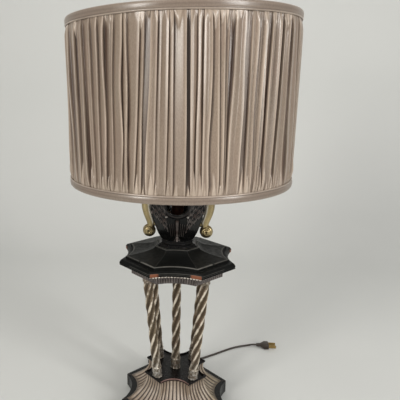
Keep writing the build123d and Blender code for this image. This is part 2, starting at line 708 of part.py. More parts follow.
def bulb_z():
    return THREAD_Z + CONTACT_H + BULB_LIFT


def bulb_base():
    top = bulb_z() + BULB_BASE_H
    edge = [(BULB_BASE_R - step, bulb_z() + h) for h, step in BULB_BASE_PROFILE]
    return turned([(0, bulb_z()), *edge, (BULB_BASE_R, top), (0, top)])


def bulb_profile(t):
    """Glass outline moved in by t: a flaring neck and a round head."""
    low = bulb_z() + BULB_BASE_H
    centre = low + BULB_L - BULB_R
    points = [(0, low + t)]
    points += [(BULB_BASE_R + out - t, max(low + h, low + t)) for h, out in BULB_NECK]
    for turn in range(-25, 91, 15):
        angle = math.radians(turn)
        points.append(((BULB_R - t) * math.cos(angle), centre + (BULB_R - t) * math.sin(angle)))
    return points + [(0, centre + BULB_R - t)]


def bulb_glass():
    return turned(bulb_profile(0)) - turned(bulb_profile(BULB_WALL))


# --- shade -----------------------------------------------------------------------------------

def ring_r():
    """Radius of the wire rings' centre line, just inside the cover."""
    return SHADE_R - COVER_T - LAYER_GAP - RING_WIRE_R


def lining_r():
    return ring_r() - RING_WIRE_R - LAYER_GAP


def wire_z(at_top):
    return SHADE_TOP - RING_WIRE_R if at_top else SHADE_Z + RING_WIRE_R


def frame_ring(at_top):
    return Pos(0, 0, wire_z(at_top)) * Torus(ring_r(), RING_WIRE_R)


def shade_ribs():
    low = wire_z(False) + RING_WIRE_R + RIB_GAP
    high = wire_z(True) - RING_WIRE_R - RIB_GAP
    angles = [2 * math.pi * (i + 0.5) / RIB_COUNT for i in range(RIB_COUNT)]
    return [rod_shape(RIB_R, low, high, ring_r() * math.cos(t), ring_r() * math.sin(t)) for t in angles]


def arm_angles():
    return [math.pi / 2 + 2 * math.pi * i / SPIDER_ARMS for i in range(SPIDER_ARMS)]


def spider():
    """Hub washer with three wire arms that rise to the top ring."""
    body = rod_shape(SPIDER_HUB_R, HUB_Z, HUB_Z + SPIDER_HUB_T)
    inner, outer = SPIDER_HUB_R - ARM_ROOT, ring_r() - RING_WIRE_R - ARM_GAP
    for t in arm_angles():
        start = (inner * math.cos(t), inner * math.sin(t), HUB_Z + SPIDER_HUB_T / 2)
        end = (outer * math.cos(t), outer * math.sin(t), wire_z(True))
        body += tube_between(ARM_R, start, end)
    return body - rod_shape(STUD_R + STUD_PASS, HUB_Z - OVER, HUB_Z + SPIDER_HUB_T + OVER)


def shade_lining():
    body = ring_shape(lining_r(), lining_r() - LINING_T, SHADE_Z + LINING_IN[0], SHADE_TOP - LINING_IN[1])
    for t in arm_angles():
        body -= Pos(lining_r() * math.cos(t), lining_r() * math.sin(t), wire_z(True)) * Sphere(ARM_HOLE_R)
    return body


def shade_cover():
    return ring_shape(SHADE_R, SHADE_R - COVER_T, SHADE_Z, SHADE_TOP)


def trim(at_top):
    low = SHADE_TOP - TRIM_H if at_top else SHADE_Z
    return ring_shape(SHADE_R + TRIM_T, SHADE_R, low, low + TRIM_H)


def finial():
    body = turned([(0, FINIAL_Z)] + [(r, FINIAL_Z + h) for h, r in FINIAL_PROFILE])
    return body - rod_shape(STUD_R + STUD_FIT, FINIAL_Z - OVER, HARP_SEAT + STUD_L + TAP_END)


# --- cord ------------------------------------------------------------------------------------

def blend_radii(points):
    """An arc at each corner as large as its two runs allow."""
    radii = []
    for before, here, after in zip(points, points[1:], points[2:]):
        one, two = Vector(*here) - Vector(*before), Vector(*after) - Vector(*here)
        half_turn = math.radians(one.get_angle(two)) / 2
        radii.append(0.45 * min(one.length, two.length) / math.tan(half_turn))
    return radii


def cord_tube(points, radii=None):
    """Tube of the cord's size along straight runs and tangent arcs; prints its radii and volume's fit."""
    radii = radii or blend_radii(points)
    tube = round_wire(points, CORD_R, radii)
    length = FilletPolyline(*points, radius=radii).length
    fit = tube.volume / (math.pi * CORD_R ** 2 * length)
    print("cord length", round(length, 1), "volume fit", round(fit, 4),
          "radii", [round(r, 1) for r in radii])
    return tube


def inner_lead():
    """The cord's hidden part: down the rod's bore, under the weight and into the bushing."""
    line = [(0, 0, ROD_TOP + LEAD_END), (0, 0, LEAD_Z), (0, exit_y() - LEAD_RISE[0], LEAD_Z),
            (0, exit_y() - LEAD_RISE[1], EXIT_Z), (0, exit_y() + BUSHING_OUT, EXIT_Z)]
    return cord_tube(line, LEAD_ARCS)


def hank_reach():
    """Distance of the outermost run from the hank's middle line."""
    return HANK_FOLD + HANK_PITCH * (HANK_RUNS / 2 - 0.25)


def hank_y():
    """Middle line of the hank, just behind the plinth's back corners."""
    return PLINTH_PLAN[0] + HANK_GAP + CORD_R + hank_reach()


def run_reach(index):
    """Reach of a run: the lower layer winds in, one run climbs, the upper layer winds out over it."""
    return hank_reach() - HANK_PITCH / 2 * (HANK_RUNS - abs(HANK_RUNS - index))


def hank_points():
    """Corners of the hank's line: each run is drawn in at the waist, each fold is four eighth turns."""
    points = []
    low, high = HANK_LIFT + CORD_R, HANK_LIFT + CORD_R + HANK_LAYER
    last = 2 * HANK_RUNS
    for index in range(last + 1):
        side = -1 if index % 2 == 0 else 1
        y, drawn = (hank_y() + side * (run_reach(index) - draw) for draw in (0, HANK_WAIST))
        stops = [(HANK_BEND_X, y), (HANK_NIP_X, drawn), (-HANK_NIP_X, drawn), (-HANK_BEND_X, y)]
        shares = HANK_CLIMB if index == HANK_RUNS else ((0,) * 4 if index < HANK_RUNS else (1,) * 4)
        run = [(TIE_X - side * x, y_here, low + (high - low) * share)
               for (x, y_here), share in zip(stops, shares)]
        points += run if index > 0 else []
        if index < last:
            after = run_reach(index + 1)
            out = (run_reach(index) + after) / 2 / math.cos(math.pi / 8)
            middle = hank_y() - side * (after - run_reach(index)) / 2
            for eighth in (67.5, 22.5, -22.5, -67.5):
                angle = math.radians(eighth)
                points.append((HANK_X + side * (HANK_HALF_L + out * math.cos(angle)),
                               middle + side * out * math.sin(angle), run[-1][2]))
    start = (HANK_START_X, hank_y() - hank_reach(), low)
    end = (HANK_X - HANK_HALF_L, hank_y() - hank_reach(), high)
    return [start] + points + [end]


def least_gap(path):
    """Least gap from the hank's skin to itself, between points more than a fold's turn apart along it."""
    step = 2.0
    count, apart = int(path.length / step), int(5 * HANK_FOLD / 2 / step)
    spots = [path @ (i / count) for i in range(count + 1)]
    gaps = [(spots[j] - spots[i]).length for i in range(count + 1) for j in range(i + apart, count + 1)]
    return min(gaps) - 2 * CORD_R


def hank_radii(points):
    """Nearly full arcs at the folds' eighth turns, and blends where a run bends."""
    radii = []
    for before, here, after, blend in zip(points, points[1:], points[2:], blend_radii(points)):
        one, two = Vector(*here) - Vector(*before), Vector(*after) - Vector(*here)
        full = min(one.length, two.length) / 2 / math.tan(math.pi / 8)
        radii.append(0.97 * full if abs(one.get_angle(two) - 45) < 1 else blend)
    return radii


def cord_hank():
    points = hank_points()
    radii = hank_radii(points)
    print("hank least gap", round(least_gap(FilletPolyline(*points, radius=radii)), 2))
    return cord_tube(points, radii)


def cord_start():
    """From the bushing's mouth, straight out and then round into the hank's outermost run."""
    y, z = hank_y() - hank_reach(), HANK_LIFT + CORD_R
    mouth = exit_y() + BUSHING_OUT
    return cord_tube([(0, mouth, EXIT_Z), (0, mouth + 4.6, EXIT_Z), (-1.5, y - 4.1, z + 1.2),
                      (-8.0, y, z), (HANK_START_X, y, z)])


def cord_outer():
    """Out of the hank's last fold, down to the table and away to the plug."""
    start = (HANK_X - HANK_HALF_L, hank_y() - hank_reach(), HANK_LIFT + CORD_R + HANK_LAYER)
    way = [(x, hank_y() + back, z) for x, back, z in (*CORD_OUT, (*PLUG_AT, PLUG_T / 2))]
    return cord_tube([start, *way])


def hank_tie():
    """Flat band round the hank's waist."""
    half = hank_reach() - HANK_WAIST + CORD_R + TIE_GAP
    top = HANK_LIFT + 2 * CORD_R + HANK_LAYER + TIE_GAP
    bottom = HANK_LIFT - TIE_GAP
    middle = Pos(TIE_X, hank_y(), (top + bottom) / 2)
    outer = middle * Box(TIE_W, 2 * (half + TIE_T), top - bottom + 2 * TIE_T)
    inner = middle * Box(2 * TIE_W, 2 * half, top - bottom)
    outer = fillet(outer.edges().filter_by(Axis.X), TIE_ROUND[0])
    return outer - fillet(inner.edges().filter_by(Axis.X), TIE_ROUND[1])


def plug():
    x, y = PLUG_AT[0] + PLUG_L / 2, hank_y() + PLUG_AT[1]
    body = Pos(x, y, PLUG_T / 2) * Box(PLUG_L, PLUG_W, PLUG_T)
    body = fillet(body.edges().filter_by(Axis.Z), PLUG_ROUND)
    return chamfer(body.edges().filter_by(Axis.Z, reverse=True), PLUG_EDGE)


def plug_blades():
    x, y = PLUG_AT[0] + PLUG_L + BLADE_L / 2, hank_y() + PLUG_AT[1]
    blade = Pos(x, y, PLUG_T / 2) * Box(BLADE_L, BLADE_T, BLADE_W)
    return [Pos(0, side * BLADE_SPACING / 2, 0) * blade for side in (-1, 1)]


# --- all pieces ------------------------------------------------------------------------------

PIECES = {
    "felt_pad": felt_pad(), "plinth": plinth(), "base_weight": base_weight(),
    "weight_screws": weight_screws(), "base_washer": base_washer(), "base_nut": base_nut(),
    "cord_bushing": cord_bushing(), "skirt": skirt(), "base_plate": base_plate(),
    "column_screws_lower": column_screws_lower(),
    "column_front_left": outer_column(0), "column_front_right": outer_column(1),
    "column_back_right": outer_column(2), "column_back_left": outer_column(3),
    "centre_column": centre_column(), "capital_cove": capital_cove(),
    "column_screws_upper": column_screws_upper(), "cap_washer": cap_washer(), "cap_nut": cap_nut(),
    "cap": cap(), "urn_foot": urn_foot(), "urn_body": urn_body(), "handle_left": handle(-1),
    "handle_right": handle(1), "threaded_rod": threaded_rod(), "stem_tube": stem_tube(),
    "check_ring": check_ring(), "harp_saddle": harp_saddle(), "harp": harp(),
    "ferrule_left": ferrule(-1), "ferrule_right": ferrule(1), "socket_cap": socket_cap(),
    "socket_shell": socket_shell(), "socket_liner": socket_liner(), "socket_core": socket_core(),
    "screw_shell": screw_shell(), "switch_knob": switch_knob(), "bulb_base": bulb_base(),
    "bulb_glass": bulb_glass(), "spider": spider(), "shade_top_ring": frame_ring(True),
    "shade_bottom_ring": frame_ring(False), "shade_ribs": shade_ribs(),
    "shade_lining": shade_lining(), "shade_cover": shade_cover(), "trim_top": trim(True),
    "trim_bottom": trim(False), "finial": finial(), "inner_lead": inner_lead(),
    "cord_start": cord_start(), "cord_hank": cord_hank(), "cord_outer": cord_outer(),
    "hank_tie": hank_tie(), "plug": plug(), "plug_blades": plug_blades(),
}

os.makedirs("parts", exist_ok=True)
for name, shape in PIECES.items():
    solids = []
    for item in shape if isinstance(shape, list) else [shape]:
        solids += item.solids()
    export_step(solids[0] if len(solids) == 1 else Compound(children=solids), "parts/" + name + ".step")
    print(name, len(solids), round(sum(s.volume for s in solids)))
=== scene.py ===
"""Candlestick table lamp: the visible pieces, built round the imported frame. Metres, +Z up, front on -Y."""
import math

import bmesh
import bpy
import numpy as np
from mathutils import Matrix, Vector


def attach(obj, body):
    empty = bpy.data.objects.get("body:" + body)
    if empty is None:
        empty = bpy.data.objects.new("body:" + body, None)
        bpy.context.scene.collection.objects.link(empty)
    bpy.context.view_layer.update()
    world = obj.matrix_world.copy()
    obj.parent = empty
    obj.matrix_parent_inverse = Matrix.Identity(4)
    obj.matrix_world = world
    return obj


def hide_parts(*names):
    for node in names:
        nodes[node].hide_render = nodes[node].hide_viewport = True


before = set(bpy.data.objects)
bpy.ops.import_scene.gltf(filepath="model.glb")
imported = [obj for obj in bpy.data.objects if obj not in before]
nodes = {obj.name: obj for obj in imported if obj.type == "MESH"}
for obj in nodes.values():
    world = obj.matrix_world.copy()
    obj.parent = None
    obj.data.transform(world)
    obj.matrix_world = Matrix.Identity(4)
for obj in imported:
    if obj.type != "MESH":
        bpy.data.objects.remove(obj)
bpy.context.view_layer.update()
scene = bpy.context.scene
MM = 0.001
TAU = 2 * math.pi
rng = np.random.default_rng(7)


# --- camera ----------------------------------------------------------------------------------

EYE = (17.2, -794.2, 581.4)
YAW, PITCH, ROLL = math.radians(8.04), math.radians(13.45), math.radians(-0.75)
FOCAL_PX, AXIS_PX, FRAME_PX = 477.8, (122.6, 200.2), 400.0
SENSOR = 36.0

ahead = Vector((-math.sin(YAW) * math.cos(PITCH), math.cos(YAW) * math.cos(PITCH), -math.sin(PITCH)))
right = ahead.cross(Vector((0, 0, 1))).normalized()
up = right.cross(ahead)
right, up = (right * math.cos(ROLL) + up * math.sin(ROLL), up * math.cos(ROLL) - right * math.sin(ROLL))
camera = bpy.data.objects.new("camera", bpy.data.cameras.new("camera"))
scene.collection.objects.link(camera)
turn = Matrix((right, up, -ahead)).transposed().to_4x4()
camera.matrix_world = Matrix.Translation(Vector(EYE) * MM) @ turn
camera.data.sensor_width = SENSOR
camera.data.lens = SENSOR * FOCAL_PX / FRAME_PX
camera.data.shift_x = (FRAME_PX / 2 - AXIS_PX[0]) / FRAME_PX
camera.data.shift_y = (AXIS_PX[1] - FRAME_PX / 2) / FRAME_PX
camera.data.clip_start, camera.data.clip_end = 0.01, 20
scene.camera = camera


# --- node materials --------------------------------------------------------------------------

class Look:
    """A node material: methods add nodes and return their output sockets."""

    def __init__(self, name, color=(0.5, 0.5, 0.5), roughness=0.5, metallic=0.0, **more):
        self.mat = bpy.data.materials.new(name)
        self.mat.use_nodes = True
        self.tree = self.mat.node_tree
        self.bsdf = self.tree.nodes["Principled BSDF"]
        self.put("Base Color", color)
        self.put("Roughness", roughness)
        self.put("Metallic", metallic)
        for key, value in more.items():
            self.put(key.replace("_", " "), value)

    def put(self, name, value):
        """Sets or links an input of the shader."""
        self.feed(self.bsdf.inputs[name], value)

    def feed(self, socket, value):
        if isinstance(value, bpy.types.NodeSocket):
            self.tree.links.new(value, socket)
        elif isinstance(value, (tuple, list)) and socket.type == "RGBA":
            socket.default_value = (*value[:3], 1.0)
        else:
            socket.default_value = value

    def node(self, kind, out=0, ins=None, **settings):
        made = self.tree.nodes.new("ShaderNode" + kind)
        for key, value in settings.items():
            setattr(made, key, value)
        for key, value in (ins or {}).items():
            self.feed(made.inputs[key], value)
        return made.outputs[out]

    def coords(self, scale=(1, 1, 1)):
        return self.node("Mapping", ins={"Vector": self.node("TexCoord", "Object"), "Scale": scale})

    def noise(self, scale, detail=3.0, rough=0.55, where=None):
        ins = {"Scale": scale, "Detail": detail, "Roughness": rough, "Vector": where or self.coords()}
        return self.node("TexNoise", "Fac", ins)

    def attribute(self, name):
        return self.node("Attribute", "Fac", attribute_name=name)

    def ramp(self, fac, *stops):
        """Colour ramp: stops are (place, colour or number)."""
        made = self.tree.nodes.new("ShaderNodeValToRGB")
        ramp = made.color_ramp
        while len(ramp.elements) < len(stops):
            ramp.elements.new(0.5)
        for element, (place, color) in zip(ramp.elements, stops):
            element.position = place
            element.color = (*color, 1) if isinstance(color, tuple) else (color, color, color, 1)
        self.feed(made.inputs["Fac"], fac)
        return made.outputs["Color"]

    def step(self, fac, low, high):
        """0 below low, 1 above high."""
        return self.ramp(fac, (low, 0.0), (high, 1.0))

    def mix(self, fac, a, b):
        made = self.tree.nodes.new("ShaderNodeMix")
        made.data_type = "RGBA"
        self.feed(made.inputs[0], fac)
        self.feed(made.inputs[6], a)
        self.feed(made.inputs[7], b)
        return made.outputs[2]

    def math(self, how, a, b):
        made = self.tree.nodes.new("ShaderNodeMath")
        made.operation = how
        for socket, value in zip(made.inputs, (a, b)):
            self.feed(socket, value)
        return made.outputs[0]

    def bump(self, height, distance, strength=1.0):
        ins = {"Height": height, "Distance": distance, "Strength": strength}
        self.put("Normal", self.node("Bump", "Normal", ins))


# --- mesh helpers ----------------------------------------------------------------------------

def add_mesh(name, points, faces, look, body="lamp", slot=None, marks=None, replaces=()):
    """A piece from points in millimetres and faces; marks are named numbers, one for each point."""
    data = bpy.data.meshes.new(name)
    data.from_pydata([tuple(p) for p in np.asarray(points, float) * MM], [], [tuple(f) for f in faces])
    data.validate()
    data.update()
    for key, values in (marks or {}).items():
        data.attributes.new(key, "FLOAT", "POINT").data.foreach_set("value", np.asarray(values, np.float32))
    data.polygons.foreach_set("use_smooth", [True] * len(data.polygons))
    piece = bpy.data.objects.new(name, data)
    scene.collection.objects.link(piece)
    data.materials.append(look.mat)
    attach(piece, body)
    if replaces:
        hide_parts(*replaces)
    return piece


def grid_faces(rows, cols, closed=True, offset=0):
    """Quads over a grid of points, rows bottom to top, columns anticlockwise seen from outside."""
    i, j = np.meshgrid(np.arange(rows - 1), np.arange(cols if closed else cols - 1), indexing="ij")
    k = (j + 1) % cols
    quads = np.stack([i * cols + j, i * cols + k, (i + 1) * cols + k, (i + 1) * cols + j], -1)
    return (quads.reshape(-1, 4) + offset).tolist()


def loft(name, grid, look, caps=(False, False), marks=None, **more):
    """A piece from a closed grid of points (rows, columns, 3); caps close its first and last row."""
    rows, cols = grid.shape[:2]
    points, faces = list(grid.reshape(-1, 3)), grid_faces(rows, cols)
    marks = {key: list(np.asarray(value, float).ravel()) for key, value in (marks or {}).items()}
    for row, wanted in ((0, caps[0]), (rows - 1, caps[1])):
        if wanted:
            points.append(grid[row].mean(0))
            for values in marks.values():
                values.append(values[row * cols])
            hub, ring = len(points) - 1, [row * cols + j for j in range(cols)]
            for a, b in zip(ring, ring[1:] + ring[:1]):
                faces.append((hub, b, a) if row == 0 else (hub, a, b))
    return add_mesh(name, points, faces, look, marks=marks, **more)


def smooth_rows(values, times, closed=False):
    """Rounds corners of a line of points by averaging neighbours."""
    values = np.asarray(values, float).copy()
    for _ in range(times):
        before, after = np.roll(values, 1, 0), np.roll(values, -1, 0)
        if not closed:
            before[0], after[-1] = values[0], values[-1]
        averaged = (before + 2 * values + after) / 4
        if not closed:
            averaged[0], averaged[-1] = values[0], values[-1]
        values = averaged
    return values


def dense(values, step):
    """More rows along a line of points, so that steps in it are about one length."""
    values = np.asarray(values, float)
    out = [values[:1]]
    for a, b in zip(values, values[1:]):
        count = max(1, int(math.ceil(np.linalg.norm(b - a) / step)))
        t = np.arange(1, count + 1)[:, None] / count
        out.append(a + (b - a) * t)
    return np.concatenate(out)


def plan_ring(plan, arc=24, flat=18, soften=3, even=False):
    """Outline of an eight-sided plan, anticlockwise from the front's left corner, corners softened."""
    a, b, sag = plan
    def ease(n):
        share = np.arange(n) / n
        return share if even else (1 - np.cos(np.pi * share)) / 2
    radius = (b * b + sag * sag) / (2 * max(sag, 1e-6))
    half = math.asin(min(1.0, b / radius))
    t = -half + 2 * half * ease(arc)
    hollow = np.stack([radius * np.sin(t), -a + sag - (radius - radius * np.cos(t))], 1)
    straight = np.array([b, -a]) + (np.array([a, -b]) - np.array([b, -a])) * ease(flat)[:, None]
    quarter = np.concatenate([hollow, straight])
    ring = np.concatenate([quarter @ np.array([[math.cos(q), math.sin(q)], [-math.sin(q), math.cos(q)]])
                           for q in np.arange(4) * math.pi / 2])
    return smooth_rows(ring, soften, closed=True)


def plan_grid(levels, **more):
    """Grid of points through levels (a, b, sag, z)."""
    rows = []
    for a, b, sag, z in levels:
        ring = plan_ring((a, b, sag), **more)
        rows.append(np.column_stack([ring, np.full(len(ring), z)]))
    return np.array(rows)


def inset(plan, t):
    a, b, sag = plan
    return (a - t, b - t * (math.sqrt(2) - 1), sag)


def between(low, high, share):
    return tuple(p + (q - p) * share for p, q in zip(low, high))


def normals(grid):
    """Outward unit normals of a closed grid."""
    along = np.roll(grid, -1, 1) - np.roll(grid, 1, 1)
    upward = np.gradient(grid, axis=0)
    out = np.cross(along, upward)
    return out / np.maximum(np.linalg.norm(out, axis=2, keepdims=True), 1e-9)


def tube_grid(line, radii, sides):
    """Rings along a line of points, carried without twist."""
    line = np.asarray(line, float)
    along = np.gradient(line, axis=0)
    along /= np.linalg.norm(along, axis=1, keepdims=True)
    side = np.cross(along[0], (0, 0, 1))
    if np.linalg.norm(side) < 1e-3:
        side = np.cross(along[0], (1, 0, 0))
    rings = []
    radii = np.broadcast_to(np.asarray(radii, float), (len(line),))
    for p, d, r in zip(line, along, radii):
        side = side - d * (side @ d)
        side /= np.linalg.norm(side)
        other = np.cross(d, side)
        t = TAU * np.arange(sides)[:, None] / sides
        rings.append(p + r * (np.cos(t) * side - np.sin(t) * other))
    return np.array(rings)[:, ::-1]


def spline(points, count):
    """Smooth line through points (Catmull-Rom), evenly sampled."""
    p = np.asarray(points, float)
    p = np.vstack([2 * p[0] - p[1], p, 2 * p[-1] - p[-2]])
    out = []
    for i in range(1, len(p) - 2):
        t = np.linspace(0, 1, 24, endpoint=False)[:, None]
        out.append(0.5 * (2 * p[i] + (p[i + 1] - p[i - 1]) * t
                          + (2 * p[i - 1] - 5 * p[i] + 4 * p[i + 1] - p[i + 2]) * t ** 2
                          + (3 * p[i] - p[i - 1] - 3 * p[i + 1] + p[i + 2]) * t ** 3))
    out = np.vstack(out + [p[-2:-1]])
    far = np.concatenate([[0], np.cumsum(np.linalg.norm(np.diff(out, axis=0), axis=1))])
    want = np.linspace(0, far[-1], count)
    return np.column_stack([np.interp(want, far, out[:, k]) for k in range(out.shape[1])])


# --- stage and light -------------------------------------------------------------------------

floor_look = Look("floor", (0.66, 0.67, 0.655), 0.6)
floor_look.put("Base Color", floor_look.mix(floor_look.noise(3.0), (0.65, 0.66, 0.645),
        (0.68, 0.685, 0.67)))


STAGE_FRONT, STAGE_HALF_X, SWEEP_Y, SWEEP_R, WALL_TOP = -2.3, 3.4, 0.75, 0.55, 3.5


def stage_mesh():
    """Pale table top that sweeps up into a backdrop."""
    profile = [(STAGE_FRONT, 0.0), (SWEEP_Y, 0.0)]
    profile += [(SWEEP_Y + SWEEP_R * math.sin(t),
                 SWEEP_R - SWEEP_R * math.cos(t)) for t in np.linspace(0.1, math.pi / 2, 12)]
    profile += [(SWEEP_Y + SWEEP_R, WALL_TOP)]
    points = [(x, y, z) for y, z in profile for x in (-STAGE_HALF_X, STAGE_HALF_X)]
    faces = [(2 * i, 2 * i + 1, 2 * i + 3, 2 * i + 2) for i in range(len(profile) - 1)]
    data = bpy.data.meshes.new("floor")
    data.from_pydata(points, [], faces)
    data.polygons.foreach_set("use_smooth", [True] * len(data.polygons))
    floor = bpy.data.objects.new("floor", data)
    scene.collection.objects.link(floor)
    data.materials.append(floor_look.mat)


def area_light(name, place, aim, size, power, color=(1, 1, 1)):
    lamp = bpy.data.lights.new(name, "AREA")
    lamp.shape, lamp.size, lamp.size_y = "RECTANGLE", size[0], size[1]
    lamp.energy, lamp.color = power, color
    made = bpy.data.objects.new(name, lamp)
    made.location = place
    made.rotation_euler = (Vector(aim) - Vector(place)).to_track_quat("-Z", "Y").to_euler()
    scene.collection.objects.link(made)


stage_mesh()
area_light("key", (-1.3, -1.8, 1.25), (0, 0, 0.4), (0.4, 1.3), 31, (1.0, 0.975, 0.925))
area_light("fill", (1.7, -1.35, 1.1), (0, 0, 0.4), (0.35, 1.2), 27, (1.0, 0.985, 0.955))
area_light("top", (0.1, -0.2, 2.4), (0, 0, 0.3), (1.6, 1.6), 15, (1.0, 0.99, 0.965))
world = bpy.data.worlds.new("world")
world.use_nodes = True
scene.world = world


def light_world(seen, cast):
    """Pale surroundings: one strength where they are seen or reflected, a lower one for the light they cast."""
    tree = world.node_tree
    back, path = tree.nodes["Background"], tree.nodes.new("ShaderNodeLightPath")
    back.inputs["Color"].default_value = (0.87, 0.86, 0.83, 1)
    fac = path.outputs["Is Camera Ray"]
    for other in ("Is Glossy Ray", "Is Transmission Ray"):
        either = tree.nodes.new("ShaderNodeMath")
        either.operation = "MAXIMUM"
        tree.links.new(fac, either.inputs[0])
        tree.links.new(path.outputs[other], either.inputs[1])
        fac = either.outputs[0]
    strength = tree.nodes.new("ShaderNodeMapRange")
    tree.links.new(fac, strength.inputs["Value"])
    strength.inputs["To Min"].default_value, strength.inputs["To Max"].default_value = cast, seen
    tree.links.new(strength.outputs["Result"], back.inputs["Strength"])


WORLD_SEEN, WORLD_CAST = 0.5, 0.24
light_world(WORLD_SEEN, WORLD_CAST)
scene.view_settings.view_transform = "Standard"


# --- cord, first -----------------------------------------------------------------------------

cord_look = Look("cord", (0.030, 0.020, 0.015), 0.42)
cord_look.put("Base Color", cord_look.mix(cord_look.noise(900.0), (0.020, 0.014, 0.011),
        (0.045, 0.030, 0.022)))
cord_look.bump(cord_look.noise(1600.0), 0.0001, 0.4)

CORD_R = 2.1
HANK_X, HANK_HALF_L, HANK_FOLD, HANK_PITCH, HANK_LAYER, HANK_RUNS = -2.0, 36.0, 9.0, 4.8, 4.75, 5
HANK_WAIST, HANK_BEND_X, HANK_NIP_X, HANK_LIFT, TIE_X = 2.0, 17.0, 6.0, 1.2, 10.0
HANK_CLIMB = (0, 0.32, 0.68, 1)
HANK_REACH = HANK_FOLD + HANK_PITCH * (HANK_RUNS / 2 - 0.25)
HANK_Y = 97.5 + CORD_R + HANK_REACH
EXIT = (0.0, 84.9, 7.5)
LOW = HANK_LIFT + CORD_R
LEAD_ROUTE = ((0, 0, 443.0), (0, 0, 300.0), (0, 0, 100.0), (0, 0, 26.0), (0, 0, 12.0), (0, 1.5, 6.4),
              (0, 9.0, 5.6),
              (0, 30.0, 5.6), (0, 52.4, 5.6), (0, 62.0, 6.2), (0, 72.0, 7.5), (0, 84.9, 7.5))
CORD_OUT = ((-46.9, -19.8, 8.05), (-59.5, -7.2, 7.8), (-59.5, 10.6, 6.0), (-46.9, 23.2, 3.0),
            (-30.0, 24.4, 2.1), (-12.0, 23.7, 2.1), (6.0, 23.6, 2.1), (20.0, 24.3, 2.1),
            (33.0, 25.6, 2.1), (45.0, 28.6, 2.1), (57.0, 34.6, 2.1), (70.0, 44.2, 2.1),
            (84.0, 54.2, 2.1), (98.0, 65.2, 2.1), (113.0, 76.6, 2.1), (128.0, 86.4, 2.1),
            (144.0, 94.2, 2.1), (158.0, 97.2, 3.2), (168.5, 97.3, 6.0), (177.0, 97.3, 6.0))


def cord_route():
    """The cord's points: out of the base, through the hank's runs and folds, away to the plug."""
    y = HANK_Y - HANK_REACH
    points = [EXIT, (0, EXIT[1] + 4.6, EXIT[2]), (-1.5, y - 4.1, LOW + 1.2), (-8.0, y, LOW),
              (-20.0, y, LOW)]
    last = 2 * HANK_RUNS
    for index in range(last + 1):
        side = -1 if index % 2 == 0 else 1
        reach = HANK_REACH - HANK_PITCH / 2 * (HANK_RUNS - abs(HANK_RUNS - index))
        stops = [(HANK_BEND_X, 0), (HANK_NIP_X, 1), (-HANK_NIP_X, 1), (-HANK_BEND_X, 0)]
        shares = HANK_CLIMB if index == HANK_RUNS else ((0,) * 4 if index < HANK_RUNS else (1,) * 4)
        run = [(TIE_X - side * x, HANK_Y + side * (reach - HANK_WAIST * drawn), LOW + HANK_LAYER * share)
               for (x, drawn), share in zip(stops, shares)]
        points += run if index > 0 else []
        if index < last:
            after = HANK_REACH - HANK_PITCH / 2 * (HANK_RUNS - abs(HANK_RUNS - index - 1))
            out = (reach + after) / 2 / math.cos(math.pi / 8)
            for eighth in (67.5, 22.5, -22.5, -67.5):
                angle = math.radians(eighth)
                points.append((HANK_X + side * (HANK_HALF_L + out * math.cos(angle)),
                               HANK_Y - side * (after - reach) / 2 + side * out * math.sin(angle),
                               run[-1][2]))
    points.append((HANK_X - HANK_HALF_L, y, LOW + HANK_LAYER))
    return points + [(x, HANK_Y + back, z) for x, back, z in CORD_OUT]


def curve_piece(name, points, radius, look):
    """Round bar along a smooth curve that has these points as its control points."""
    data = bpy.data.curves.new(name, "CURVE")
    data.dimensions, data.bevel_depth, data.bevel_resolution = "3D", radius * MM, 3
    data.resolution_u, data.use_fill_caps = 6, True
    line = data.splines.new("NURBS")
    line.points.add(len(points) - 1)
    for point, place in zip(line.points, points):
        point.co = (*(v * MM for v in place), 1)
    line.order_u, line.use_endpoint_u = 3, True
    piece = bpy.data.objects.new(name, data)
    scene.collection.objects.link(piece)
    data.materials.append(look.mat)
    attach(piece, "lamp")
    return piece


PLUG_X, PLUG_Y, PLUG_HALF_W, PLUG_HALF_T = 177.0, HANK_Y + 97.3, 11.5, 6.0


def plug_body():
    """Moulded flat plug: ribbed neck, flared body with finger grooves, round corners."""
    stops = np.array([(0.0, 0.34, 0.56), (1.0, 0.36, 0.60), (9.0, 0.44, 0.66), (13.0, 0.72, 0.82),
                      (16.5, 0.95, 0.96),
                      (19.0, 1.0, 1.0), (24.6, 1.0, 1.0), (25.5, 0.97, 0.96), (26.0, 0.90, 0.90)])
    x = np.linspace(0, 26, 120)
    wide, thick = (np.interp(x, stops[:, 0], stops[:, k]) for k in (1, 2))
    for _ in range(4):
        wide[1:-1] = (wide[:-2] + 2 * wide[1:-1] + wide[2:]) / 4
        thick[1:-1] = (thick[:-2] + 2 * thick[1:-1] + thick[2:]) / 4
    ribs = 1 - 0.10 * (np.sin(x * TAU / 2.0) > 0.2) * (x > 1) * (x < 9.5)
    t = TAU * np.arange(72) / 72
    power = np.interp(x, [0, 9, 16], [1.0, 0.9, 0.55])[:, None]
    across = np.sign(np.cos(t)) * np.abs(np.cos(t)) ** power
    above = np.sign(np.sin(t)) * np.abs(np.sin(t)) ** power
    grip = 1 - 0.06 * (np.sin(x * TAU / 2.2)[:,
            None] > 0.4) * (np.abs(across) > 0.8) * ((x > 15) * (x < 23))[:, None]
    grid = np.stack([np.broadcast_to(PLUG_X + x[:, None], across.shape),
                     PLUG_Y + PLUG_HALF_W * (wide * ribs)[:, None] * across * grip,
                     PLUG_HALF_T + PLUG_HALF_T * (thick * ribs)[:, None] * above], -1)
    return loft("plug_body", grid, cord_look, caps=(True, True), slot="cord_plastic", replaces=["plug"])


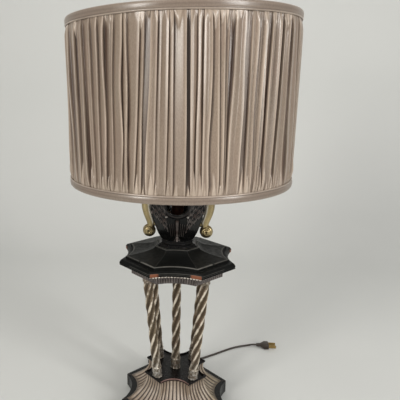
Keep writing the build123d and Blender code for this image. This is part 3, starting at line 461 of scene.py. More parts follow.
def cable_tie():
    """Ribbed strap round the hank's waist."""
    half, low, high, round_r = 20.6, 0.55, 10.85, 2.2
    corners = [(-half + round_r, low + round_r), (half - round_r, low + round_r),
               (half - round_r, high - round_r), (-half + round_r, high - round_r)]
    path = []
    for k, (y, z) in enumerate(corners):
        for a in np.linspace(math.pi, 1.5 * math.pi, 9) + k * math.pi / 2:
            path.append((HANK_Y + y + round_r * math.cos(a), z + round_r * math.sin(a)))
    path = dense(path + [path[0]], 0.9)[:-1]
    out = np.roll(path, -1, 0) - np.roll(path, 1, 0)
    out = np.column_stack([out[:, 1], -out[:, 0]])
    out /= np.linalg.norm(out, axis=1, keepdims=True)
    rib = 0.10 * np.cos(np.arange(len(path)) * TAU / 3)
    section = [(-3.5, -0.3), (-3.5, 0.25), (-3.1, 0.4), (0.0, 0.36), (3.1, 0.4), (3.5, 0.25), (3.5, -0.3),
               (0.0, -0.36)]
    grid = np.array([[(10.0 + w, *(p + o * (d + (r if d > 0 else 0)))) for w, d in section]
                     for p, o, r in zip(path, out, rib)])
    rows, cols = grid.shape[:2]
    faces = [(i * cols + j, i * cols + (j + 1) % cols, (i + 1) % rows * cols + (j + 1) % cols,
              (i + 1) % rows * cols + j)
             for i in range(rows) for j in range(cols)]
    look = Look("strap", (0.02, 0.018, 0.017), 0.5)
    look.put("Base Color", look.mix(look.noise(260, 4.0), (0.013, 0.012, 0.011), (0.034, 0.030, 0.027)))
    look.bump(look.noise(1400, 2.0), 0.0001, 0.5)
    piece = add_mesh("cable_tie", grid.reshape(-1, 3), faces, look, slot="cord_plastic",
                     replaces=["hank_tie"])
    return piece


cord = curve_piece("cord", cord_route(), CORD_R, cord_look)
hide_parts("cord_start", "cord_hank", "cord_outer")
plug_body()
cable_tie()
inner_lead = curve_piece("inner_lead_piece", LEAD_ROUTE, CORD_R, cord_look)
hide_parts("inner_lead")


# --- shade -----------------------------------------------------------------------------------

COVER_LOW, COVER_HIGH, VALLEY_R = 427.5, 681.8, 176.3
FOLD_R, FOLD_STEPS, COVER_ROWS = 177, 26, 64   # radius that fold widths are measured on
# Main folds at the front: degrees right of -Y at the shade's top, at its bottom, and the side on
# which the fold drops steeply (1 right, -1 left)
FRONT_FOLDS = (
    (-66, -57.5, 1), (-55, -52, 1), (-48.5, -45, 1), (-42, -39.5, 1), (-37, -36, 1), (-33, -32.5, 1),
    (-27.5, -29, 1), (-23.5, -24, 1), (-21.5, -21.5, 1), (-15, -18.5, 1), (-13.5, -15.5, 1),
    (-10, -12.5, -1), (-8, -9.5, 1), (-3.5, -4.5, 1), (-2, -1.5, 1), (3.1, 3.9, 1), (5.6, 6.8, -1),
    (8.5, 9, -1), (11, 11.5, -1), (13, 13.5, 1), (16, 18, 1), (18.5, 20, 1), (24, 22, -1),
    (28, 27, 1), (31.5, 31, -1), (33.5, 33, 1), (38, 36, 1), (42.5, 40.5, -1), (47, 45, 1),
    (50.5, 48.5, -1), (54, 53.5, 1), (58, 60, -1), (64, 66.5, 1))


def fold_table():
    """Every fold round the cover: top and bottom place in degrees, steep side, height in mm."""
    rows = [(top, low, side, rng.uniform(3.6, 5.2)) for top, low, side in FRONT_FOLDS]
    place = FRONT_FOLDS[-1][0] + rng.uniform(3, 5)
    while place < FRONT_FOLDS[0][0] + 357:
        rows.append((place, place + rng.normal(0, 1.2), rng.choice([-1, 1], p=[0.35, 0.65]),
                     rng.uniform(3.2, 5.2)))
        place += rng.uniform(2.4, 5.4)
    rows = np.array(rows)
    after = np.roll(rows, -1, 0)
    after[-1, :2] += 360
    small = [(a[0] + (b[0] - a[0]) * share, a[1] + (b[1] - a[1]) * share, side, height)
             for a, b, share, side, height in zip(
                 rows, after, rng.uniform(0.36, 0.66, len(rows)), rng.choice([-1, 1], len(rows)),
                 rng.uniform(0.9, 2.0, len(rows))) if b[0] - a[0] > 4.2 and rng.random() < 0.5]
    rows = np.vstack([rows, small])
    rows = rows[np.argsort(rows[:, 0])]
    for end in (0, 1):
        for i in range(1, len(rows)):
            rows[i, end] = max(rows[i, end], rows[i - 1, end] + 0.95)
    return rows


def cover_grid():
    """Points of the gathered cover, how deep each lies between folds, which paints shade into the creases, and
    how near a crest it is, which paints a highlight along it.
    """
    folds = fold_table()
    count = len(folds)
    after = np.roll(np.arange(count), -1)
    turn_over = np.where(after == 0, 360.0, 0.0)
    share = (1 - np.cos(np.pi * np.linspace(0, 1, COVER_ROWS))) / 2
    low, high = COVER_LOW + 3, COVER_HIGH - 3
    z = low + (high - low) * (0.5 * share + 0.5 * np.linspace(0, 1, COVER_ROWS))
    w = (z - low) / (high - low)
    from_end = np.minimum(z - low, high - z) - 6
    open_up = 1 - 0.62 * np.exp(-np.clip(from_end, 0, None) / np.where(w < 0.5, 13, 6))
    phase, beat, sway = rng.uniform(0, TAU, count), rng.uniform(0.6, 1.6, count), rng.normal(0, 0.28, count)
    u = np.arange(FOLD_STEPS) / FOLD_STEPS
    u = u - 0.115 * np.sin(TAU * u)
    inner = rng.integers(1, 4, count)
    puff = rng.uniform(0.5, 1.5, (2, count))
    fade = rng.uniform(9, 26, (2, count))
    fans = []                                  # short creases that spread from a panel towards a binding
    for i in range(count):
        for end, chance in ((0, 0.9), (1, 0.45)):
            if rng.random() < chance:
                root, reach = rng.uniform(0.3, 0.7), rng.uniform(18, 46) * (1 if end == 0 else 0.8)
                for spread in rng.choice([-1, 0, 1], rng.integers(2, 4), replace=False):
                    fans.append((i, end, root, reach, spread * rng.uniform(0.18, 0.34),
                            rng.uniform(2.0, 3.4)))
    points, height, crest = [], [], []
    for row in range(COVER_ROWS):
        lift = 4 * w[row] * (1 - w[row])
        place = folds[:, 1] + (folds[:, 0] - folds[:, 1]) * w[row]
        place = place + sway * lift * np.sin(TAU * beat * w[row] + phase)
        width = np.radians(place[after] + turn_over - place) * FOLD_R
        tall = folds[:, 3] * open_up[row] * (1 + 0.16 * np.sin(TAU * beat * w[row] * 0.7 + 2 * phase))
        tall = np.minimum(tall, 0.75 * np.minimum(width, np.roll(width, 1)) + 0.6)
        x = u[None] * width[:, None]
        rest = width[:, None] - x
        steep = np.minimum(1.9, 0.3 * width)[:, None]
        gentle = np.minimum(17.0, 0.9 * width)[:, None]
        falls_right, rises_left = folds[:, 2] > 0, folds[after, 2] < 0
        reach_a = np.where(falls_right[:, None], steep, gentle)
        reach_b = np.where(rises_left[:, None], steep, gentle)
        side_a = np.where(falls_right[:, None], np.clip(1 - x / reach_a, 0, 1) ** 1.3,
                          1 - np.clip(x / reach_a, 0, 1) ** 1.15)
        side_b = np.where(rises_left[:, None], np.clip(1 - rest / reach_b, 0, 1) ** 1.3,
                          1 - np.clip(rest / reach_b, 0, 1) ** 1.15)
        level = np.maximum(tall[:, None] * side_a, tall[after][:, None] * side_b)
        gather = 0
        for end, gap in ((0, z[row] - low - 6), (1, high - z[row] - 6)):
            ripple = np.sin(np.pi * (inner[:, None] + end) * u[None]) ** 2
            gather = gather + (puff[end] * np.exp(-max(gap, 0) / fade[end]))[:, None] * ripple
        level = level + gather * np.clip(width[:, None] / 9, 0.3, 1) * (1 - np.maximum(side_a, side_b))
        extra = np.zeros_like(level)
        for i, end, root, reach, spread, rise in fans:
            gap = (z[row] - low) if end == 0 else (high - z[row])
            if gap < reach:
                near = 1 - gap / reach
                at = width[i] * (root + spread * near)
                extra[i] += rise * near ** 0.7 * np.exp(-((x[i] - at) / (0.9 + 0.8 * near)) ** 2)
        extra = extra * np.clip(width[:, None] / 8, 0.2, 1) * np.clip(np.minimum(x, rest) / 1.2, 0, 1)
        level = level + extra
        level = np.minimum(level, 1.9 + 0.22 * max(min(z[row] - low, high - z[row]) - 8.5, 0))
        lean = 0.95 * (folds[:, 2] * tall / 3)[:, None] * np.clip(1 - x / 1.7, 0, 1) ** 0.8
        lean = lean + 0.95 * (folds[after, 2] * tall[after] / 3)[:, None] * np.clip(1 - rest / 1.7, 0,
                1) ** 0.8
        angle = np.radians(place[:, None] - 90) + (x + lean) / FOLD_R
        radius = VALLEY_R + level
        points.append(np.stack([radius * np.cos(angle), radius * np.sin(angle),
                np.full_like(angle, z[row])],
                               -1).reshape(-1, 3))
        height.append(level.ravel())
        # crest mark: near each fold's edge and along the fans' creases; the satin turns light there, a painted
        # highlight
        edge_a = np.clip(1 - x / 2.1, 0, 1) ** 1.3 * np.clip(tall / 3.2, 0, 1)[:, None]
        edge_b = np.clip(1 - rest / 2.1, 0, 1) ** 1.3 * np.clip(tall[after] / 3.2, 0, 1)[:, None]
        crest.append(np.maximum(np.maximum(edge_a, edge_b), np.clip(extra / 2.4, 0, 0.9)).ravel())
    grid, height = np.array(points), np.array(height)
    # depth mark: how far a point lies under higher points nearby, falling off with distance; it paints shade
    # into the creases
    depth = np.zeros_like(height)
    for step in range(1, 26):
        for way in (-1, 1):
            other, there = np.roll(height, way * step, 1), np.roll(grid, way * step, 1)
            apart = np.linalg.norm((there - grid)[..., :2], axis=-1)
            depth = np.maximum(depth, other - height - 0.42 * apart)
    return grid, depth, np.array(crest)


def band_grid(end, sides=300):
    """A binding's outer surface: from its piped edge over the wire ring to the inside."""
    profile = np.array([(178.6, 11.6), (179.3, 11.3), (179.75, 10.6), (179.6, 9.9), (179.1, 9.5),
                        (179.35, 8.8),
                        (179.75, 7.0), (179.9, 5.0), (179.8, 3.0), (179.4, 1.2), (178.6, 0.1),
                        (177.0, -0.35),
                        (174.8, -0.5), (172.6, -0.2), (171.2, 1.0), (170.6, 3.0), (170.6, 6.0),
                        (170.8, 9.0)])
    profile = dense(profile, 0.9)
    angle = TAU * np.arange(sides) / sides
    slack = sum(a * np.sin(n * angle + p) for n, a, p in ((3, 0.18, 1.0), (7, 0.12, 2.2), (17, 0.07, 0.4),
                                                          (41, 0.05, 3.0)))
    flat = np.clip((profile[:, 1] - 0.5) / 4, 0, 1) * np.clip((10.5 - profile[:, 1]) / 2, 0, 1)
    radius = profile[:, :1] + slack[None] * flat[:, None]
    drop = profile[:, 1:] + 0.35 * np.sin(5 * angle + end)[None] * (profile[:, 1:] > 9)
    z = COVER_HIGH - drop if end > 0 else COVER_LOW + drop
    grid = np.stack([radius * np.cos(angle), radius * np.sin(angle), z], -1)
    up = np.broadcast_to(profile[:, 1:], radius.shape) * (profile[:, :1] > 175)
    # The marks colour the binding: crest puts a painted highlight on the piping and the folded edge, depth puts
    # painted shade along the seam under the piping and, fainter, across the middle of the face.
    pipe = np.exp(-((up - 10.9) / 0.55) ** 2) + 0.35 * np.exp(-((up - 0.4) / 0.7) ** 2)
    seam = np.exp(-((up - 9.4) / 0.45) ** 2) + 0.35 * np.exp(-((up - 5.0) / 1.6) ** 2)
    order = slice(None) if end < 0 else slice(None, None, -1)
    return grid[order], {"crest": np.clip(pipe, 0, 1)[order], "depth": 0.8 * np.clip(seam, 0, 1)[order]}


def satin_look(name, tones, use_depth):
    look = Look(name, roughness=0.3, Sheen_Weight=0.12, Sheen_Roughness=0.35, Specular_IOR_Level=0.75)
    look.put("Sheen Tint", (1.0, 0.86, 0.80))
    where = look.coords((1, 1, 1))
    slub = look.noise(900, 2.0, 0.6, look.coords((1, 1, 0.35)))
    cloud = look.noise(14, 3.0, 0.5, where)
    color = look.mix(look.step(slub, 0.35, 0.68), tones[0], tones[1])
    color = look.mix(look.ramp(cloud, (0.35, 0.0), (0.7, 0.35)), color, tones[2])
    if use_depth:
        # glint: a painted highlight on the crests, broken up by a noise
        glint = look.ramp(look.noise(26, 4.0, 0.6, look.coords((1, 1, 0.3))), (0.36, 0.22), (0.66, 1.0))
        glint = look.math("MULTIPLY", look.step(look.attribute("crest"), 0.1, 0.85), glint)
        color = look.mix(glint, color, tones[4])
        # Painted shade: the creases take the dark tone where the mark depth is high.
        color = look.mix(look.step(look.attribute("depth"), 0.05, 0.85), color, tones[3])
    look.put("Base Color", color)
    weave = look.noise(2600, 2.0, 0.6, look.coords((1, 1, 0.5)))
    look.bump(weave, 0.00012, 0.35)
    return look


def solidify(piece, thickness, offset=-1.0):
    made = piece.modifiers.new("thickness", "SOLIDIFY")
    made.thickness, made.offset = thickness * MM, offset


# Satin tones: two for the slub, one for clouds, then the painted shade of the creases and the painted highlight
# of the crests.
TAUPE = ((0.232, 0.178, 0.133), (0.312, 0.244, 0.187), (0.25, 0.165, 0.130), (0.068, 0.040, 0.028),
         (0.58, 0.475, 0.385))
cover_satin = satin_look("pleated_satin", TAUPE, True)
band_satin = satin_look("band_satin", ((0.205, 0.158, 0.122), (0.26, 0.206, 0.164), (0.23, 0.164, 0.130),
                                       (0.07, 0.045, 0.032), (0.50, 0.41, 0.34)), True)
grid, depth, crest = cover_grid()
cover = loft("pleated_cover", grid, cover_satin, body="shade", slot="shade_satin", replaces=["shade_cover"],
             marks={"depth": np.clip(depth / 3.2, 0, 1), "crest": crest})
for end, name, node, ring in ((1, "band_top", "trim_top", "shade_top_ring"),
                              (-1, "band_bottom", "trim_bottom", "shade_bottom_ring")):
    grid, marks = band_grid(end)
    band = loft(name, grid, band_satin, body="shade", slot="shade_satin", replaces=[node], marks=marks)
    solidify(band, 0.45)


def lining():
    """Plain lining stretched inside the ribs, with a slight sag between them and one seam."""
    angle, z = TAU * np.arange(180) / 180, np.linspace(428.4, 677.4, 16)
    w = (z - z[0]) / (z[-1] - z[0])
    radius = 171.9 - 0.7 * np.sin(3 * angle)[None] ** 2 * (4 * w * (1 - w))[:, None] ** 0.5
    radius = radius - 0.5 * np.exp(-((np.degrees(angle) - 90) / 1.6) ** 2)[None]
    look = Look("lining", (0.72, 0.66, 0.58), 0.75, Sheen_Weight=0.2)
    look.put("Base Color", look.mix(look.noise(30, 4.0), (0.66, 0.60, 0.52), (0.76, 0.71, 0.64)))
    look.bump(look.noise(1800, 2.0), 0.00012, 0.5)
    grid = np.stack([radius * np.cos(angle), radius * np.sin(angle), np.repeat(z[:, None], 180, 1)], -1)
    piece = loft("lining", grid, look, body="shade", slot="lining", replaces=["shade_lining"])
    solidify(piece, 0.5)


lining()


# --- base ------------------------------------------------------------------------------------

PLINTH_PLAN, SKIRT_FOOT, SKIRT_TOP = (96.0, 40.4, 13.0), (86.0, 36.0, 14.5), (52.0, 22.8, 11.5)
PLATE_PLAN = (55.0, 24.0, 12.8)
PLINTH_TOP, SKIRT_TOP_Z, DECK_Z = 27.0, 68.0, 74.0
CAP_ARC, CAP_FLAT = 56, 34               # columns of the cap's grid on a hollow and on a straight side


def lacquer_look(name, base, worn_and_highlight_tone, wear_at=(0.55, 0.8), roughness=(0.22, 0.42), **more):
    """Dark lacquer, showing its brown ground where the mark "wear" and a noise say so; on the base plate's lip
    the same mark and colour also paint a highlight.
    """
    look = Look(name, base, **{"Specular_IOR_Level": 0.18, **more})
    patches = look.noise(70, 5.0, 0.65)
    amount = look.math("MULTIPLY", look.attribute("wear_and_glint"), look.math("ADD", patches, 0.35))
    amount = look.ramp(amount, (wear_at[0], 0.0), (wear_at[1], 1.0))
    cloud = look.step(look.noise(22, 4.0), 0.35, 0.75)
    tint = look.mix(cloud, base, tuple(1.8 * v for v in base))
    look.put("Base Color", look.mix(amount, tint, worn_and_highlight_tone))
    fine = look.noise(160, 3.0)
    look.put("Roughness", look.node("MapRange", "Result", {"Value": fine, "From Min": 0.3, "From Max": 0.7,
                                                           "To Min": roughness[0], "To Max": roughness[1]}))
    look.bump(look.noise(420, 4.0), 0.00018, 0.35)
    return look


def rib_count_columns(hollow, diagonal, points):
    """Place of each column on its rib, 0 to 1, round a plan with so many ribs on each kind of side."""
    return np.tile(np.concatenate([np.arange(hollow * points), np.arange(diagonal * points)]) % points
                   / points, 4)


def corner_wear(grid, power=6.0):
    """1 at the eight corners of a plan grid, falling away along its sides."""
    x, y = np.abs(grid[..., 0]), np.abs(grid[..., 1])
    big, small = np.maximum(x, y), np.minimum(x, y)
    bend = np.abs(np.degrees(np.arctan2(small, big)) - math.degrees(math.atan(0.42)))
    return np.clip(1 - bend / power, 0, 1)


def smoothstep(value, low, high):
    t = np.clip((value - low) / (high - low), 0, 1)
    return t * t * (3 - 2 * t)


def corner_gap(grid):
    """Distance along the ring from each point to its row's nearest corner, in millimetres."""
    step = np.linalg.norm(np.roll(grid, -1, 1) - grid, axis=2)
    far = np.concatenate([np.zeros((len(grid), 1)), np.cumsum(step, 1)], 1)
    gap = np.full(grid.shape[:2], 1e9)
    for q in range(4):
        for corner in (q * (CAP_ARC + CAP_FLAT), q * (CAP_ARC + CAP_FLAT) + CAP_ARC):
            away = np.abs(far[:, :-1] - far[:, corner:corner + 1])
            gap = np.minimum(gap, np.minimum(away, far[:, -1:] - away))
    return gap


def relief_loft(name, levels, look, ribs, depth, edge=2.4, soften=2, **more):
    """Loft through plans with rounded ribs round it; depth is one number in millimetres per level."""
    hollow, diagonal, points = ribs
    grid = plan_grid(levels, arc=hollow * points, flat=diagonal * points, soften=soften, even=True)
    place = rib_count_columns(hollow, diagonal, points)
    shape = 1 - np.abs(2 * place - 1) ** edge
    depth = np.asarray(depth, float)[:, None]
    cut = normals(grid) * (-(1 - shape)[None] * depth)[..., None]
    marks = {"rib": np.broadcast_to(shape, grid.shape[:2]) * np.clip(depth / max(depth.max(), 1e-6), 0, 1)
             + (1 - np.clip(depth / max(depth.max(), 1e-6), 0, 1)) * 0.5}
    return loft(name, grid + cut, look, marks=marks, **more)


lacquer = lacquer_look("black_lacquer", (0.0042, 0.0042, 0.0044), (0.10, 0.072, 0.060))
# The lip's lighter colour stands for worn ground all round and, on the front arc, for a painted highlight.
lip_lacquer = lacquer_look("lip_wear_and_highlight", (0.0050, 0.0038, 0.0038), (0.20, 0.120, 0.105),
                           wear_at=(0.30, 0.85))


def flutes_look():
    look = Look("fluted_gilding", roughness=0.42, Metallic=0.0, Specular_IOR_Level=0.6)
    rib = look.attribute("rib")
    patches = look.step(look.noise(34, 5.0, 0.6), 0.36, 0.66)
    gold = look.mix(patches, (0.30, 0.225, 0.155), (0.56, 0.47, 0.385))
    around = look.step(look.node("SeparateXYZ", "X", {"Vector": look.coords((7, 7, 7))}), 0.25, 0.62)
    gold = look.mix(look.math("MULTIPLY", around, 0.5), gold, (0.24, 0.225, 0.11))
    speck = look.step(look.noise(900, 3.0, 0.7), 0.3, 0.62)
    gold = look.mix(speck, look.mix(0.35, gold, (0.16, 0.095, 0.055)), gold)
    # Painted shade: the grooves between the flutes take a near-black brown.
    look.put("Base Color", look.mix(look.step(rib, 0.32, 0.95), (0.036, 0.021, 0.014), gold))
    look.put("Roughness", look.ramp(rib, (0.2, 0.62), (0.9, 0.34)))
    look.bump(look.noise(700, 4.0), 0.0002, 0.5)
    return look


def skirt():
    rise = np.linspace(0, 1, 34)
    levels = [(*between(SKIRT_TOP, SKIRT_FOOT, (1 - r) ** 1.9), PLINTH_TOP + (SKIRT_TOP_Z - PLINTH_TOP) * r)
              for r in rise]
    levels = [(*inset(SKIRT_FOOT, -0.6), PLINTH_TOP - 0.3),
              (*inset(SKIRT_FOOT, -0.6), PLINTH_TOP + 0.5)] + levels[1:]
    levels += [(*inset(PLATE_PLAN, t), z) for t, z in ((2.5, 69.6), (1.9, 71.2), (1.4, 72.6), (1.1, 73.6))]
    z = np.array([level[3] for level in levels])
    depth = np.interp(z, [PLINTH_TOP, 28.4, 31.5, 40, 68, 72.4, 73.6], [0, 0.2, 1.9, 1.75, 1.3, 1.1, 0.5])
    relief_loft("fluted_skirt", levels, flutes_look(), (9, 7, 12), depth, edge=2.0, slot="gilt_lacquer",
                replaces=["skirt"], caps=(True, False))


def plate():
    """Base plate: a thin raised lip round a sunk black deck."""
    edge = [(1.6, 72.6), (0.5, 73.0), (0.0, 73.9), (0.0, 75.6), (0.35, 76.5), (1.0, 77.0), (1.7, 76.95),
            (2.3, 76.4),
            (2.55, 75.4), (2.8, 74.4), (3.4, 74.02), (4.6, 74.0)]
    levels = [(*inset(PLATE_PLAN, t), z) for t, z in dense(edge, 0.5)]
    grid = plan_grid(levels, arc=48, flat=30, soften=3)
    top = np.interp(grid[..., 2], [74.0, 75.0, 76.6], [0.0, 0.35, 1.0])
    outer = (np.arange(len(levels)) < len(levels) * 0.8)[:, None]
    # front: the mark is faint all round the lip's top, where it is worn, and strong on the front hollow's arc
    # and on a second line below it, which are a painted highlight.
    front = 0.26 + 0.9 * np.clip((-grid[..., 1] - 36) / 6, 0, 1) * (np.abs(grid[..., 0]) < 24)
    second = np.exp(-((grid[..., 2] - 73.6) / 0.35) ** 2) * (np.arange(len(levels)) < len(levels) * 0.3)[:, None]
    top = np.maximum(top, 0.7 * second)
    loft("base_plate_lip", grid, lip_lacquer, caps=(True, True), slot="black_lacquer",
         replaces=["base_plate"],
         marks={"wear_and_glint": top * outer * front})


def plinth():
    edge = [(5.0, 2.0), (0.6, 2.0), (0.15, 2.2), (0.0, 2.8), (0.0, 24.6), (0.15, 25.4), (0.55, 26.2),
            (1.2, 26.8),
            (2.0, 27.0), (12.0, 27.0)]
    levels = [(*inset(PLINTH_PLAN, t), z) for t, z in dense(edge, 1.6)]
    grid = plan_grid(levels, arc=44, flat=26, soften=3)
    z = grid[..., 2]
    wear_and_glint = np.interp(z, [2, 3, 5, 22, 25.2, 26.6, 27.0], [0.5, 0.3, 0.05, 0.05, 0.5, 0.85, 0.15])
    wear_and_glint = np.maximum(wear_and_glint * 0.8, corner_wear(grid, 2.5) * 0.8)
    loft("plinth_shell", grid, lacquer, caps=(True, True), slot="black_lacquer", replaces=["plinth"],
         marks={"wear_and_glint": wear_and_glint})


def felt():
    plan = (93.0, 39.2, 13.0)
    levels = [(*inset(plan, t), z) for t, z in ((0.2, 0.05), (0.0, 0.5), (0.0, 1.6), (0.15, 1.95))]
    look = Look("felt", (0.02, 0.03, 0.022), 0.95, Sheen_Weight=0.3)
    look.put("Base Color", look.mix(look.noise(900, 3.0), (0.012, 0.020, 0.015), (0.030, 0.045, 0.034)))
    look.bump(look.noise(1500, 3.0), 0.0003, 0.8)
    piece = loft("felt_sheet", plan_grid(levels, arc=30, flat=18), look, caps=(True, True), slot="felt",
                 replaces=["felt_pad"])


skirt()
plate()
plinth()
felt()


# --- columns ---------------------------------------------------------------------------------

COLUMN_TOP_Z, COLUMN_R = 269.0, 7.6
STRANDS, STRAND_PITCH = 4, 122.0
SPREAD_FOOT, SPREAD_HEAD = 44.4 / math.sqrt(2), 67.9 / math.sqrt(2)


def rope_look():
    look = Look("antique_rope", metallic=0.6, Specular_IOR_Level=0.5)
    rib = look.attribute("rib")
    silver = look.attribute("silver")
    patches = look.step(look.noise(55, 4.0, 0.6), 0.34, 0.68)
    gold = look.mix(patches, (0.135, 0.100, 0.062), (0.31, 0.25, 0.17))
    rose = look.ramp(look.noise(28, 3.0, 0.5), (0.5, 0.0), (0.72, 0.7))
    gold = look.mix(rose, gold, (0.28, 0.175, 0.130))
    speck = look.step(look.noise(520, 5.0, 0.72), 0.38, 0.60)
    gold = look.mix(speck, look.mix(0.55, gold, (0.060, 0.034, 0.022)), gold)
    # Worn crests and a painted glint: the light colour on the strands' tops.
    rubbed_and_glint = look.step(look.math("MULTIPLY", rib, look.math("ADD", look.noise(75, 3.0, 0.6), 0.5)), 0.86,
                       1.06)
    gold = look.mix(rubbed_and_glint, gold, (0.74, 0.66, 0.55))
    leaf = look.step(look.noise(260, 5.0, 0.75), 0.42, 0.58)
    gold = look.mix(look.math("MULTIPLY", silver, leaf), gold, (0.58, 0.56, 0.52))
    # Painted shade: the grooves between the strands take a dark brown.
    look.put("Base Color", look.mix(look.step(rib, 0.12, 0.80), (0.055, 0.038, 0.022), gold))
    look.put("Roughness", look.ramp(rib, (0.1, 0.65), (0.9, 0.43)))
    look.bump(look.noise(480, 4.0, 0.65), 0.0004, 0.6)
    return look


rope = rope_look()


def rope_column(name, foot, head, node, silver=0.35, sides=STRANDS * 22):
    """Twisted column between two places on the deck and the cove, with leafy collars."""
    foot, head = np.array([*foot, DECK_Z]), np.array([*head, COLUMN_TOP_Z])
    h = np.concatenate([np.arange(0, 24, 0.7), np.arange(24, 184, 1.5), np.arange(184, 195.01, 0.7)])
    h[-1] = 195.0
    angle = TAU * np.arange(sides) / sides
    H, A = np.meshgrid(h, angle, indexing="ij")
    place = (A - TAU * H / STRAND_PITCH) * STRANDS / TAU % 1
    lobe = np.where(place < 0.83, 1 - np.abs(2 * place / 0.83 - 1) ** 1.9, 0)
    thread = np.where(place >= 0.83, 1 - np.abs(2 * (place - 0.83) / 0.17 - 1) ** 2, 0)
    thread = thread * (0.42 + 0.16 * np.sin(TAU * H / 3.4))
    twist = np.clip(np.minimum((H - 19.5) / 3, (188.5 - H) / 3), 0, 1)
    shape = np.maximum(lobe, thread)
    rope_r = COLUMN_R + 0.4 - 2.5 * (1 - shape)
    vein = np.abs(np.sin(4 * A + 0.22 * (H % 9.0)))
    tip = (H % 9.5) / 9.5
    scales = np.sin(np.pi * (A * 8 / TAU + 0.5 * (H // 9.5)) % np.pi) ** 0.6 * (1 - 0.55 * tip)
    collar_r = COLUMN_R - 0.5 + 1.35 * scales * np.clip(H / 2, 0.3, 1) + 0.25 * vein
    rings = (0.9 * np.exp(-((H - 19.6) / 0.9) ** 2) + 0.9 * np.exp(-((H - 1.3) / 1.2) ** 2)
             + 0.8 * np.exp(-((H - 188.4) / 0.8) ** 2))
    radius = np.minimum(rope_r * twist + collar_r * (1 - twist) + rings, 8.9)
    centre = foot + (head - foot) * (H / 195.0)[..., None]
    grid = np.stack([radius * np.cos(A), radius * np.sin(A), np.zeros_like(A)], -1) + centre
    rib = np.clip(shape * twist + (0.35 + 0.5 * scales) * (1 - twist) + 0.3 * rings, 0, 1)
    shine = silver * np.clip(1.2 - H / 60, 0, 1) + np.clip(1 - np.abs(H - 8) / 16, 0, 1) * silver * 1.3
    loft(name, grid, rope, caps=(True, True), slot="antique_bronze", replaces=[node],
         marks={"rib": rib, "silver": np.clip(shine + 0.5 * np.clip((H - 180) / 12, 0, 1), 0, 1)})


for name, sx, sy, silver in (("column_front_left", -1, -1, 0.75), ("column_front_right", 1, -1, 0.45),
                             ("column_back_right", 1, 1, 0.35), ("column_back_left", -1, 1, 0.35)):
    rope_column("rope_" + name, (sx * SPREAD_FOOT, sy * SPREAD_FOOT), (sx * SPREAD_HEAD, sy * SPREAD_HEAD),
                name, silver)
rope_column("rope_centre_column", (0, 0), (0, 0), "centre_column", 0.3)


# --- cove and cap ----------------------------------------------------------------------------

COVE_FOOT, COVE_TOP = (77.2, 31.9, 8.0), (88.0, 37.0, 8.5)
RIM_PLAN, PLATEAU_PLAN, ROOF_TOP = (96.0, 42.0, 9.0), (85.0, 34.2, 8.2), (37.5, 17.6, 2.0)
ROOF_Z = 314.5


def gadroon_look():
    look = Look("gadroons", metallic=0.15, Specular_IOR_Level=0.6)
    rib = look.attribute("rib")
    patches = look.step(look.noise(60, 4.0, 0.6), 0.36, 0.66)
    tone = look.mix(patches, (0.062, 0.050, 0.048), (0.17, 0.145, 0.135))
    speck = look.step(look.noise(600, 4.0, 0.7), 0.36, 0.62)
    tone = look.mix(speck, look.mix(0.5, tone, (0.05, 0.035, 0.03)), tone)
    # Painted shade: the grooves between the gadroons take a near-black.
    look.put("Base Color", look.mix(look.step(rib, 0.25, 0.85), (0.022, 0.015, 0.013), tone))
    look.put("Roughness", look.ramp(rib, (0.1, 0.6), (0.9, 0.33)))
    look.bump(look.noise(500, 4.0), 0.0002, 0.5)
    return look


gadroons = gadroon_look()


def cove():
    """Cove of slim upright gadroons under the rim."""
    levels = [(*inset(COVE_FOOT, 0.9), COLUMN_TOP_Z), (*inset(COVE_FOOT, 0.1), COLUMN_TOP_Z + 0.5)]
    for rise in np.linspace(0.05, 1, 20):
        share = 1 - math.sqrt(1 - (0.98 * rise) ** 2)
        levels.append((*between(COVE_FOOT, COVE_TOP, share), COLUMN_TOP_Z + 18 * rise))
    z = np.array([level[3] for level in levels])
    depth = np.interp(z, [269.0, 269.8, 272.5, 284.0, 286.5], [0.0, 0.5, 1.5, 1.5, 0.6])
    relief_loft("gadroon_cove", levels, gadroons, (16, 14, 10), depth, edge=2.2, slot="gilt_lacquer",
                replaces=["capital_cove"], caps=(True, True))


BEAD_R, BEAD_HALF_H, BEAD_Z, BEAD_PITCH = 2.25, 1.95, 285.9, 5.1


def beads():
    """Row of small beads just under the rim."""
    plan = inset(COVE_TOP, -2.4)
    ring = plan_ring(plan, arc=64, flat=64, soften=1)
    far = np.concatenate([[0], np.cumsum(np.linalg.norm(np.diff(np.vstack([ring, ring[:1]]), axis=0),
            axis=1))])
    count = int(round(far[-1] / BEAD_PITCH))
    want = (np.arange(count) + 0.5) * far[-1] / count
    closed = np.vstack([ring, ring[:1]])
    spots = np.column_stack([np.interp(want, far, closed[:, k]) for k in (0, 1)])
    points, faces, rib = [], [], []
    lat, lon = np.linspace(-1.35, 1.35, 7), TAU * np.arange(10) / 10
    for spot in spots:
        start = len(points)
        for a in lat:
            for b in lon:
                points.append((spot[0] + BEAD_R * math.cos(a) * math.cos(b),
                        spot[1] + BEAD_R * math.cos(a) * math.sin(b),
                               BEAD_Z + BEAD_HALF_H * math.sin(a)))
                # rib: high on the bead's upper side and low beneath it, for painted light and shade
                rib.append(0.55 + 0.45 * math.cos(a - 0.5))
        faces += grid_faces(7, 10, offset=start)
        faces += [tuple(start + j for j in range(9, -1, -1)), tuple(start + 60 + j for j in range(10))]
    look = Look("beads", (0.42, 0.37, 0.32), 0.3, 0.3, Specular_IOR_Level=0.7)
    tone = look.mix(look.step(look.noise(120, 4.0), 0.35, 0.62), (0.22, 0.16, 0.13), (0.80, 0.74, 0.67))
    # Painted shade: dark under each bead where the mark rib is low.
    look.put("Base Color", look.mix(look.step(look.attribute("rib"), 0.5, 0.9), (0.05, 0.035, 0.03), tone))
    look.bump(look.noise(600, 3.0), 0.0002, 0.4)
    add_mesh("bead_row", points, faces, look, slot="gilt_lacquer", marks={"rib": rib})


